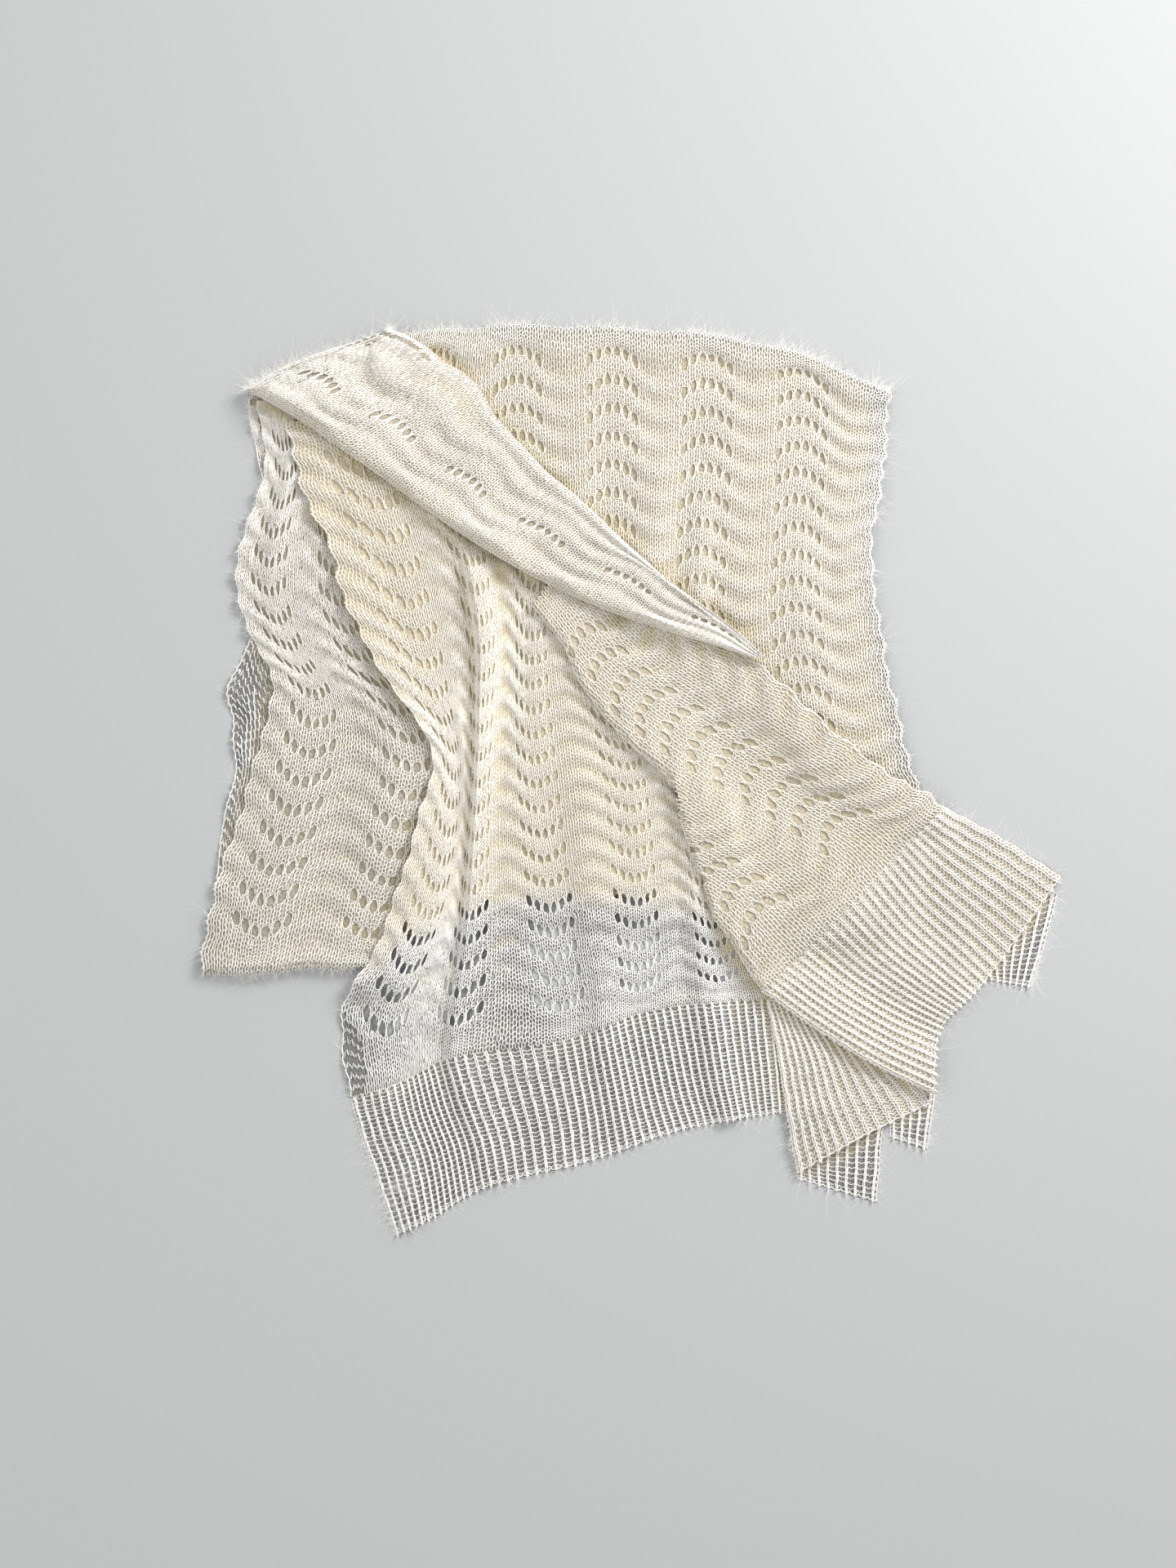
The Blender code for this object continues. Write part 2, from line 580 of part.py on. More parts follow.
def make_material(name, colour):
    """Soft matt wool."""
    material = bpy.data.materials.new(name)
    material.use_nodes = True
    surface = material.node_tree.nodes["Principled BSDF"]
    surface.inputs["Base Color"].default_value = colour
    surface.inputs["Roughness"].default_value = WOOL_ROUGH
    surface.inputs["Metallic"].default_value = 0.0
    return material


def layers():
    """The stretches from the floor up, in groups that share their ground."""
    to_floor = ("floor", 0.0045, 1.5)
    return (
        (Stretch("left_under_layer", UNDER, UNDER_STATIONS, 9, on_floor=True),),
        (Stretch("left_panel", LEFT, LEFT_STATIONS, 20, pleats=LEFT_PLEATS, hidden=LEFT_HIDDEN,
                 folds={"last_row": to_floor}, openings=(2, 18)),),
        (Stretch("back_panel", BACK, BACK_STATIONS, 17, arc=-ARC, pleats=BACK_PLEATS,
                 hidden=BACK_HIDDEN, folds={"first_row": to_floor}, openings=(2, 16)),),
        (Stretch("center_panel", CENTER, CENTER_STATIONS, 22, pleats=CENTER_PLEATS,
                 hidden=CENTER_HIDDEN, openings=(2, 20), ends=(0.0, SEAM)),
         Stretch("center_hem", CENTER_HEM, CENTER_STATIONS, 3, arc=0.0, ribs=48,
                 pleats=CENTER_HEM_PLEATS, hidden=HEM_HIDDEN, ends=(SEAM, 0.0))),
        (Stretch("lower_tail", LOWER_TAIL, TAIL_STATIONS, 2, arc=0.0, ribs=9),
         Stretch("middle_tail", MIDDLE_TAIL, TAIL_STATIONS, 1, arc=0.0, ribs=5),
         Stretch("upper_tail", UPPER_TAIL, TAIL_STATIONS, 2, arc=0.0, ribs=8)),
        (Stretch("hem_turn", HEM_TURN, TURN_STATIONS, 6, arc=0.0, ribs=13, pleats=TURN_PLEATS),),
        (Stretch("wing_panel", WING, WING_STATIONS, 14, arc=-ARC, pleats=WING_PLEATS,
                 hidden=WING_HIDDEN, folds={"first_side": ("rest", 0.006, 0.9)},
                 openings=(3, 12), ends=(0.0, SEAM)),
         Stretch("wing_hem", WING_HEM, WING_STATIONS, 5, arc=0.0, ribs=32,
                 pleats=WING_HEM_PLEATS, folds={"first_side": ("rest", 0.006, 0.9)},
                 ends=(SEAM, 0.0))),
        (Stretch("band", BAND, BAND_STATIONS, 5, arc=0.22, pleats=BAND_PLEATS,
                 lines_across=PLAIN_COLUMNS,
                 folds={"first_row": ("rest", 0.010, 3.2), "last_row": ("rest", 0.009, 3.2),
                        "first_side": ("floor", 0.010, 1.5)}),),
    )


def main():
    """Clear the file, lay the stretches in order and centre the whole."""
    for old in list(bpy.data.objects):
        bpy.data.objects.remove(old, do_unlink=True)
    collection = bpy.data.collections.new("folded_lace_scarf")
    bpy.context.scene.collection.children.link(collection)
    heap = Heap()
    core = make_core(collection, make_material("folded_core_wool", WOOL))
    heap.add(core)
    objects = [core]
    for group in layers():
        heap.settle()
        made = []
        for stretch in group:
            made.append(stretch.build(heap, collection, make_material(stretch.name + "_wool", WOOL)))
            print(stretch.name, "openings", stretch.count)
        for obj in made:
            heap.add(obj)
        objects += made
    graph = bpy.context.evaluated_depsgraph_get()
    corners = np.array([tuple(corner) for obj in objects for corner in obj.evaluated_get(graph).bound_box])
    middle = (corners.min(axis=0) + corners.max(axis=0)) / 2.0
    for obj in objects:
        obj.location = (-middle[0], -middle[1], 0.0)


main()
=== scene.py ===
"""Hand-knitted lace scarf, folded and lying flat: its wool, stitches, eyelets and mohair halo.

Each stretch of cloth is a thin sheet with its eyelets cut out, under knitted courses of yarn
that loop from stitch to stitch. Both follow one function of two parameters, the place across
the cloth in fan repeats and the place along it in eyelet rows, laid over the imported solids.
"""
import logging
from dataclasses import dataclass, field
from enum import Enum

import bpy
import numpy as np
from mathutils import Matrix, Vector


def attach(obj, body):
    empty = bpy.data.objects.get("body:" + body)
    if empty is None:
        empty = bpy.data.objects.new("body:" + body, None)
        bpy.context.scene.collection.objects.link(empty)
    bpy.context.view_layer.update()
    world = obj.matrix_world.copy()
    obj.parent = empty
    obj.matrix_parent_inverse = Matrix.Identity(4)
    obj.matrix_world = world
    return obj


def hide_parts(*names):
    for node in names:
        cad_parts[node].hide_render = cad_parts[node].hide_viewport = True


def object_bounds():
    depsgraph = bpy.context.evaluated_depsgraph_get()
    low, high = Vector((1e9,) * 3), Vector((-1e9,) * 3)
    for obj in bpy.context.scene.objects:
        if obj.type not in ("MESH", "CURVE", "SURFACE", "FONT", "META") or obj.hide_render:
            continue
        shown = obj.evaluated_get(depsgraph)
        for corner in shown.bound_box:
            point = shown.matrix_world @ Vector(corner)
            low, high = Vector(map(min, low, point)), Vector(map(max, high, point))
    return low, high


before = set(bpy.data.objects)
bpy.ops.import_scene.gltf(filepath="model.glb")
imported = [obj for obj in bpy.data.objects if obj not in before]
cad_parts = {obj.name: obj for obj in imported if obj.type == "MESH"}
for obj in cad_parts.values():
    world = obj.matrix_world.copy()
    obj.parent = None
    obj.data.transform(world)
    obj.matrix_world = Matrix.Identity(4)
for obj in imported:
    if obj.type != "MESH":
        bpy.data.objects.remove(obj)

Array = np.ndarray
log = logging.getLogger("lace_scarf")
CAD_BOX = [list(corner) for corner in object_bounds()]

MM = 0.001
SHIFT = np.array((-0.000094, -0.00154))  # from the tables' middle to the model's origin
THIN, THICK = 0.0012, 0.0023             # wall at an eyelet row or between ribs, and at a rib
CREST = 0.0025                           # wall at a lace crest, with the wool's loft
GAP = 0.0003                             # air between one layer and the next
DRAPE, SOFTEN = 0.016, 0.006             # how far cloth spans a step, and rounds it
CELL = 0.002                             # cell of the height maps
HEAP_HALF = (0.400, 0.420)               # their half size
REST_COS = 0.8660254                     # where a folded border's end rests, 150 degrees round
STITCHES, COURSES = 18, 6                # stitches in a fan repeat, courses in an eyelet row
EYELETS = 6                              # in a fan
EYELET_FIRST, EYELET_STEP = 0.2625, 0.095  # their places across the fan
EYELET_HALF = (0.031, 0.19)              # half width in repeats, half height in rows
EYELET_AT = 0.21                         # middle of an eyelet, in rows past the row's start
EYELET_RIM = 1.55                        # how far round an eyelet the yarn is pushed, in half sizes
YARN = 0.00045                           # radius of the yarn's core
BENDS = 6                                # straight spans in a stitch
NEXT_LAYER = 0.0006                      # depth of the layer seen through an eyelet
MOST_QUADS = 95000                       # quads in one object of stitches
GRID = (400, 420)                        # cells of the height maps along x and y
FOLD_LINES = np.array((-0.66, -0.33, 0.0, 0.33, 0.66))  # lines round a folded border, in radii
LEAST_HEIGHT = 0.0002                    # of the cloth over the surface it lies on
HAIR_ROOM = np.array((0.024, 0.024, 0.007))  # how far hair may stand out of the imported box
SHALLOW = 0.0003                         # depth of the yarn's centre
# Range of the painted tint for light scattered through the layers below, on one layer and on many
PLAIN_WARMTH = (0.0, 0.8)                # warmth on one layer and on many
SEED = 11


class Side(Enum):
    """A border of a stretch."""

    FIRST_ROW = "first_row"
    LAST_ROW = "last_row"
    FIRST_SIDE = "first_side"


class Base(Enum):
    """What the turned-under end of a folded border lies on."""

    FLOOR = "floor"
    CLOTH = "cloth"


BACK_STATIONS = (0.0, 1.5, 2.5, 3.5, 4.5, 5.4)
BACK = (
    ((-193, 387), (-98, 392), (-16, 391), (65, 384), (147, 368), (221, 335)),
    ((-205, 343), (-98, 344), (-16, 344), (65, 340), (147, 330), (219, 301)),
    ((-217, 280), (-96, 280), (-16, 279), (64, 276), (145, 272), (215, 259)),
    ((-212, 210), (-93, 210), (-16, 209), (60, 207), (142, 204), (206, 202)),
    ((-205, 140), (-89, 140), (-14, 140), (58, 141), (141, 141), (212, 143)),
    ((-199, 70), (-86, 70), (-12, 71), (61, 76), (147, 78), (224, 78)),
    ((-194, -28), (-82, -28), (-7, -25), (68, -21), (156, -18), (249, -18)),
)
LEFT_STATIONS = (0.0, 1.0, 2.0)
LEFT = (
    ((-320, 327), (-282, 326), (-240, 308)),
    ((-314, 264), (-276, 260), (-236, 252)),
    ((-331, 215), (-280, 209), (-226, 202)),
    ((-338, 167), (-280, 158), (-217, 150)),
    ((-323, 122), (-264, 112), (-196, 104)),
    ((-306, 83), (-238, 69), (-159, 56)),
    ((-317, 38), (-233, 24), (-140, 14)),
    ((-329, -7), (-243, -21), (-145, -31)),
    ((-342, -49), (-252, -59), (-152, -70)),
    ((-357, -92), (-264, -98), (-163, -105)),
    ((-364, -130), (-271, -132), (-177, -133)),
    ((-369, -168), (-278, -162), (-184, -155)),
)
UNDER_STATIONS = (0.0, 0.7)
UNDER = (
    ((-328, 330), (-303, 328)),
    ((-323, 292), (-297, 292)),
    ((-315, 259), (-294, 259)),
    ((-310, 217), (-294, 217)),
    ((-322, 175), (-300, 175)),
    ((-322, 133), (-297, 133)),
    ((-337, 102), (-293, 102)),
    ((-345, 76), (-291, 76)),
    ((-341, 49), (-295, 49)),
    ((-340, 21), (-301, 21)),
    ((-342, -6), (-308, -6)),
    ((-349, -28), (-315, -28)),
    ((-352, -61), (-323, -61)),
    ((-357, -90), (-330, -90)),
)
CENTER_STATIONS = (0.0, 0.5, 1.5, 2.5, 3.5, 5.5)
CENTER = (
    ((-294, 308), (-240, 308), (-149, 276), (-79, 245), (-23, 217), (47, 182)),
    ((-283, 258), (-224, 252), (-145, 224), (-82, 200), (-26, 174), (47, 136)),
    ((-257, 200), (-203, 192), (-135, 174), (-86, 155), (-31, 133), (51, 91)),
    ((-241, 148), (-187, 136), (-128, 122), (-87, 112), (-26, 92), (63, 48)),
    ((-210, 91), (-170, 78), (-128, 69), (-86, 63), (-14, 50), (79, 7)),
    ((-170, 29), (-152, 20), (-130, 13), (-82, 11), (-5, 7), (95, -34)),
    ((-181, -28), (-157, -39), (-133, -43), (-77, -41), (0, -38), (110, -73)),
    ((-201, -95), (-171, -104), (-137, -105), (-70, -99), (4, -94), (123, -106)),
    ((-221, -148), (-191, -157), (-142, -154), (-65, -148), (7, -139), (133, -137)),
    ((-249, -201), (-209, -206), (-149, -199), (-59, -188), (8, -172), (142, -162)),
    ((-240, -270), (-205, -260), (-152, -235), (-58, -221), (8, -198), (151, -183)),
)
CENTER_HEM = (
    ((-240, -270), (-205, -260), (-152, -235), (-58, -221), (8, -198), (151, -183)),
    ((-233, -298), (-198, -290), (-142, -270), (-52, -252), (15, -231), (152, -211)),
    ((-220, -336), (-185, -328), (-129, -307), (-45, -287), (23, -267), (154, -244)),
    ((-202, -389), (-175, -376), (-121, -346), (-40, -326), (33, -301), (154, -279)),
)
# The wing's left fold cuts across its wales, so its stations change from section to section.
WING_STATIONS = (
    (1.33, 1.5, 2.30), (1.34, 1.5, 2.30), (1.23, 1.5, 2.40), (1.12, 1.5, 2.42), (1.08, 1.5, 2.42),
    (0.63, 1.5, 2.30), (0.21, 1.5, 2.17), (0.13, 1.5, 2.16), (0.10, 1.5, 2.14),
)
WING = (
    ((-84, 150), (-75, 162), (-42, 224)),
    ((-58, 118), (-49, 129), (-12, 196)),
    ((-45, 87), (-28, 104), (16, 174)),
    ((-11, 42), (11, 69), (54, 137)),
    ((30, 6), (56, 37), (103, 110)),
    ((49, -56), (104, 7), (149, 67)),
    ((70, -116), (152, -22), (203, 18)),
    ((102, -164), (201, -54), (250, -8)),
    ((112, -179), (219, -71), (266, -20)),
)
HEM_STATIONS = (0.0, 0.5, 1.5, 2.25)
WING_HEM = (
    ((112, -179), (144, -148), (219, -71), (266, -20)),
    ((159, -212), (184, -178), (249, -106), (299, -36)),
    ((208, -242), (224, -202), (280, -134), (334, -57)),
    ((259, -267), (263, -220), (310, -162), (369, -80)),
)
TURN_STATIONS = (0.0, 0.5, 1.0)
HEM_TURN = (
    ((116, -186), (142, -188), (166, -196)),
    ((126, -238), (166, -231), (212, -231)),
    ((133, -286), (180, -273), (243, -255)),
    ((142, -335), (194, -305), (257, -274)),
)
TAIL_STATIONS = (0.0, 1.0)
LOWER_TAIL = (((137, -304), (217, -284)), ((142, -339), (211, -360)))
MIDDLE_TAIL = (((221, -274), (261, -262)), ((222, -304), (254, -315)))
UPPER_TAIL = (((289, -119), (366, -94)), ((292, -144), (357, -130)), ((301, -168), (343, -176)))
BAND_STATIONS = (0.0, 0.7, 1.5, 2.4, 3.3, 4.2, 5.1, 5.7, 6.0)
BAND = (
    ((-329, 336), (-294, 316), (-240, 280), (-177, 235), (-121, 197), (-47, 158), (26, 131),
     (82, 114), (105, 106)),
    ((-296, 356), (-257, 333), (-205, 302), (-149, 259), (-93, 220), (-26, 182), (40, 146),
     (88, 122), (109, 108)),
    ((-252, 372), (-213, 354), (-170, 323), (-122, 281), (-70, 238), (-9, 196), (51, 157),
     (93, 126), (112, 108)),
    ((-201, 388), (-170, 370), (-135, 342), (-98, 294), (-51, 248), (12, 190), (58, 146),
     (99, 118), (116, 104)),
)
CORE = (
    (-286, 322), (-256, 346), (-212, 372), (-163, 384), (-93, 382), (-23, 382), (47, 377),
    (110, 369), (166, 356), (205, 328), (208, 294), (203, 252), (198, 203), (197, 172),
    (206, 136), (209, 94), (220, 52), (229, 7), (229, -56), (208, -105), (159, -119),
    (110, -115), (54, -105), (-9, -99), (-65, -98), (-121, -102), (-170, -122), (-219, -144),
    (-282, -153), (-336, -152), (-330, -119), (-318, -80), (-307, -35), (-299, 0), (-290, 42),
    (-284, 77), (-290, 119), (-296, 158), (-290, 210), (-286, 252), (-289, 285),
)
# Ground that an upper stretch covers, where the sheet of a lower one stops.
BACK_HIDDEN = ((-240, 420), (-215, 420), (-202, 376), (-160, 340), (-136, 322), (-106, 290),
               (-62, 246), (-6, 192), (46, 150), (92, 112), (136, 72), (166, 38), (204, 4),
               (242, -18), (260, -60), (-260, -60))
LEFT_HIDDEN = ((-276, 340), (-264, 252), (-246, 196), (-232, 146), (-206, 91), (-164, 42),
               (-152, 14), (-168, -28), (-184, -91), (-206, -148), (-212, -180), (0, -180),
               (0, 340))
CENTER_HIDDEN = ((-310, 340), (-262, 316), (-226, 286), (-166, 240), (-112, 204), (-78, 184),
                 (-50, 146), (-32, 104), (12, 50), (44, 10), (62, -40), (84, -100), (112, -150),
                 (130, -180), (136, -240), (260, -240), (260, 340))
HEM_HIDDEN = ((136, -170), (140, -230), (146, -310), (240, -310), (240, -170))
WING_HIDDEN = ((-120, 260), (-84, 192), (-20, 158), (40, 138), (84, 122), (112, 140), (112, 260))

# Pleats and creases: place across, reach to each side in repeats, height in millimetres at the
# first and last row, and the rows between which it runs. A crease may sink.
#            place  left   right  first  last  from   to
CENTER_PLEATS = (
    (1.50, 0.17, 0.50, 15.0, 8.0, 2.0, 25.0),
    (3.00, 0.34, 0.40, 2.0, 7.0, 10.0, 25.0),
    (4.32, 0.30, 0.34, 3.0, 7.0, 12.0, 25.0),
    (0.50, 0.50, 0.34, 5.0, 1.0, -2.0, 8.0),
    (0.00, 0.34, 0.42, 6.0, 6.0, 3.0, 12.0),
    (0.42, 0.42, 0.25, 3.0, 4.0, 15.0, 25.0),
)
CENTER_CREASES = (
    (2.05, 0.20, 0.30, -1.5, -0.5, 3.0, 16.0),
    (2.62, 0.22, 0.20, 2.4, 0.6, 3.0, 13.0),
    (0.92, 0.25, 0.18, 1.4, -0.8, 8.0, 19.0),
    (3.62, 0.30, 0.22, 0.6, 1.8, 7.0, 18.0),
    (4.05, 0.22, 0.24, -1.0, -1.8, 11.0, 24.0),
)
CENTER_HEM_PLEATS = (
    (1.50, 0.17, 0.50, 14.0, 1.0, -3.0, 4.2),
    (3.00, 0.34, 0.40, 9.5, 1.0, -3.0, 4.2),
    (4.32, 0.30, 0.34, 6.5, 5.0, -3.0, 9.0),
    (0.42, 0.42, 0.25, 4.0, 3.0, -3.0, 9.0),
    (2.20, 0.34, 0.30, 0.0, 3.0, 0.0, 9.0),
)
BACK_PLEATS = (
    (3.00, 0.42, 0.34, 3.0, 7.0, 3.0, 11.0),
    (3.50, 0.34, 0.17, 2.0, 6.0, 5.0, 12.0),
    (4.58, 0.34, 0.42, 2.0, 4.0, 7.0, 20.0),
    (5.40, 0.42, 0.17, 1.0, 3.0, 2.0, 9.0),
)
BACK_CREASES = (
    (2.20, 0.30, 0.25, 1.2, 2.2, 1.0, 8.0),
    (3.95, 0.20, 0.26, -1.2, 1.6, 2.0, 10.0),
    (5.05, 0.18, 0.22, 1.4, -1.0, 6.0, 16.0),
)
LEFT_PLEATS = (
    (0.58, 0.34, 0.42, 5.0, 3.0, 0.0, 7.0),
    (1.33, 0.42, 0.34, 3.0, 6.0, 8.0, 17.0),
    (0.58, 0.34, 0.42, 2.0, 4.0, 11.0, 25.0),
)
LEFT_CREASES = (
    (1.62, 0.16, 0.20, 1.6, -1.0, 10.0, 19.0),
    (0.22, 0.20, 0.24, -0.8, 1.6, 6.0, 15.0),
)
WING_PLEATS = (
    (1.00, 0.60, 0.60, 3.0, 4.0, 4.0, 20.0),
    (2.00, 0.42, 0.34, 3.0, 2.0, 3.0, 20.0),
)
WING_CREASES = (
    (1.72, 0.20, 0.28, -0.9, 1.2, 5.0, 12.0),
    (2.26, 0.16, 0.20, 1.6, 0.4, 3.0, 13.0),
)
WING_HEM_PLEATS = (
    (1.00, 0.60, 0.60, 4.0, 8.0, -3.0, 12.0),
    (2.00, 0.42, 0.34, 2.0, 3.0, -3.0, 12.0),
)
TURN_PLEATS = ((0.45, 0.45, 0.50, 2.0, 5.0, 0.0, 12.0),)
BAND_PLEATS = (
    (0.66, 0.90, 1.10, 4.0, 1.0, -1.0, 6.0),
    (3.33, 1.20, 1.40, 1.0, 3.0, 0.0, 6.0),
)


def ease(value: Array) -> Array:
    """Rise softly from 0 to 1, as three squares less two cubes.

    Args:
        value: Places along the rise, clipped to 0 and 1.

    Returns:
        The eased values.
    """
    value = np.clip(value, 0.0, 1.0)
    return value * value * (3.0 - 2.0 * value)


def unit(vectors: Array) -> Array:
    """Scale vectors to length 1.

    Args:
        vectors: Shape (..., d).

    Returns:
        The unit vectors.
    """
    return vectors / np.maximum(np.linalg.norm(vectors, axis=-1, keepdims=True), 1e-9)


def soft_curve(points: Array, knots: Array, at: Array) -> Array:
    """Read a cubic curve through points at knots, with slopes shared between neighbours.

    Args:
        points: Values, one curve for each place, shape (n, k, d).
        knots: Rising knots of each curve, shape (n, k).
        at: Where each curve is read, shape (n,).

    Returns:
        The values, shape (n, d).
    """
    step = np.diff(knots, axis=1)[..., None]
    secant = np.diff(points, axis=1) / step
    slopes = np.empty_like(points)
    slopes[:, 0], slopes[:, -1] = secant[:, 0], secant[:, -1]
    before, after = step[:, :-1], step[:, 1:]
    slopes[:, 1:-1] = (before * secant[:, 1:] + after * secant[:, :-1]) / (before + after)
    low = np.clip((at[:, None] >= knots).sum(axis=1) - 1, 0, knots.shape[1] - 2)
    pick = np.arange(len(at))
    width = step[pick, low]
    part = (at - knots[pick, low])[:, None] / width
    square, cube = part**2, part**3
    return (
        points[pick, low] * (2 * cube - 3 * square + 1)
        + slopes[pick, low] * width * (cube - 2 * square + part)
        + points[pick, low + 1] * (3 * square - 2 * cube)
        + slopes[pick, low + 1] * width * (cube - square)
    )


def within(outline: tuple, x: Array, y: Array) -> Array:
    """Tell which places lie inside an outline, by counting its crossings.

    Args:
        outline: Corners in millimetres, as in the tables.
        x: Places along x in metres.
        y: Places along y.

    Returns:
        True for each place inside.
    """
    points = np.array(outline, float) * MM + SHIFT
    result = np.zeros(np.shape(x), bool)
    for (x0, y0), (x1, y1) in zip(points, np.roll(points, -1, axis=0)):
        crosses = (y0 > y) != (y1 > y)
        with np.errstate(divide="ignore", invalid="ignore"):
            result ^= crosses & (x < (x1 - x0) * (y - y0) / (y1 - y0) + x0)
    return result


def cell_numbers(x: Array, y: Array) -> tuple[Array, Array]:
    """Number the map cells that places fall in.

    Args:
        x: Places along x, in metres from the tables' middle.
        y: Places along y.

    Returns:
        Cell numbers along x and y.
    """
    i, j = (np.clip(((place + half) / CELL).astype(int), 0, count - 1)
            for place, half, count in zip((x, y), HEAP_HALF, GRID))
    return i, j


class HeapMap:
    """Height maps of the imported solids, laid one group after another from the floor up."""

    def __init__(self) -> None:
        """Start with a bare floor."""
        self.top = np.zeros(GRID)
        self.wide = self.close = self.near = self.top

    def cells(self, node: str) -> tuple[Array, Array, Array]:
        """Spread points over each triangle of a solid, 120 to a triangle.

        Args:
            node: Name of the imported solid.

        Returns:
            Cell numbers along x and y, and the height of each point.
        """
        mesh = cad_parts[node].data
        mesh.calc_loop_triangles()
        points = np.empty(len(mesh.vertices) * 3)
        mesh.vertices.foreach_get("co", points)
        corners = np.empty(len(mesh.loop_triangles) * 3, dtype=np.int32)
        mesh.loop_triangles.foreach_get("vertices", corners)
        triangles = points.reshape(-1, 3)[corners.reshape(-1, 3)]
        triangles[..., :2] -= SHIFT
        i, j = np.divmod(np.arange(225), 15)
        a, b = (i / 14.0)[i + j <= 14], (j / 14.0)[i + j <= 14]
        weights = np.stack((a, b, 1.0 - a - b), axis=1)
        spots = np.einsum("pk,tkd->tpd", weights, triangles).reshape(-1, 3)
        return (*cell_numbers(spots[:, 0], spots[:, 1]), spots[:, 2])

    def add(self, node: str) -> None:
        """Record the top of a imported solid.

        Args:
            node: Its name.
        """
        x, y, height = self.cells(node)
        np.maximum.at(self.top, (x, y), height)

    @staticmethod
    def spread(values: Array, reach: float) -> Array:
        """Take the largest value within a square reach of each cell.

        Args:
            values: The map.
            reach: Reach to each side, in metres.

        Returns:
            The new map.
        """
        count = int(round(reach / CELL))
        for axis in (0, 1):
            source = values
            for shift in range(-count, count + 1):
                values = np.maximum(values, np.roll(source, shift, axis=axis))
        return values

    @staticmethod
    def mean(values: Array, reach: float) -> Array:
        """Take the average within a square reach of each cell.

        Args:
            values: The map.
            reach: Reach to each side, in metres.

        Returns:
            The new map.
        """
        count = int(round(reach / CELL))
        for axis in (0, 1):
            total = sum(np.roll(values, shift, axis=axis) for shift in range(-count, count + 1))
            values = total / (2 * count + 1)
        return values

    def settle(self) -> None:
        """Work out the ground that the next group rests on."""
        lifted = np.where(self.top > 0.0, self.top + GAP, 0.0)
        self.wide = self.mean(self.mean(self.spread(lifted, DRAPE + SOFTEN), SOFTEN), 0.004)
        self.close = self.spread(lifted, 0.012)
        self.near = self.spread(lifted, 0.006)

    @staticmethod
    def read(values: Array, x: Array, y: Array) -> Array:
        """Read a map between its cells.

        Args:
            values: The map.
            x: Places along x, in the model's frame.
            y: Places along y.

        Returns:
            The values there.
        """
        gx = np.clip((x - SHIFT[0] + HEAP_HALF[0]) / CELL - 0.5, 0, GRID[0] - 2)
        gy = np.clip((y - SHIFT[1] + HEAP_HALF[1]) / CELL - 0.5, 0, GRID[1] - 2)
        ix, iy = gx.astype(int), gy.astype(int)
        fx, fy = gx - ix, gy - iy
        low = values[ix, iy] * (1 - fx) + values[ix + 1, iy] * fx
        return low * (1 - fy) + (values[ix, iy + 1] * (1 - fx) + values[ix + 1, iy + 1] * fx) * fy


def add_node(tree: bpy.types.NodeTree, kind: str, inputs: dict, **settings: object) -> bpy.types.Node:
    """Add a shader node.

    Args:
        tree: The material's nodes.
        kind: Its type's name, after "ShaderNode".
        inputs: For each input, a value to set or an output to link.
        settings: The node's own properties.

    Returns:
        The node.
    """
    made = tree.nodes.new("ShaderNode" + kind)
    for name, value in settings.items():
        setattr(made, name, value)
    for name, value in inputs.items():
        if isinstance(value, bpy.types.NodeSocket):
            tree.links.new(value, made.inputs[name])
        else:
            made.inputs[name].default_value = value
    return made


def new_surface(name: str, values: dict) -> tuple[bpy.types.Material, bpy.types.Node]:
    """Make a material with some of its shader's sockets set.

    Args:
        name: Its name.
        values: Values of the Principled shader's inputs.

    Returns:
        The material and its shader.
    """
    made = bpy.data.materials.new(name)
    made.use_nodes = True
    shader = made.node_tree.nodes["Principled BSDF"]
    for key, value in values.items():
        shader.inputs[key].default_value = value
    return made, shader


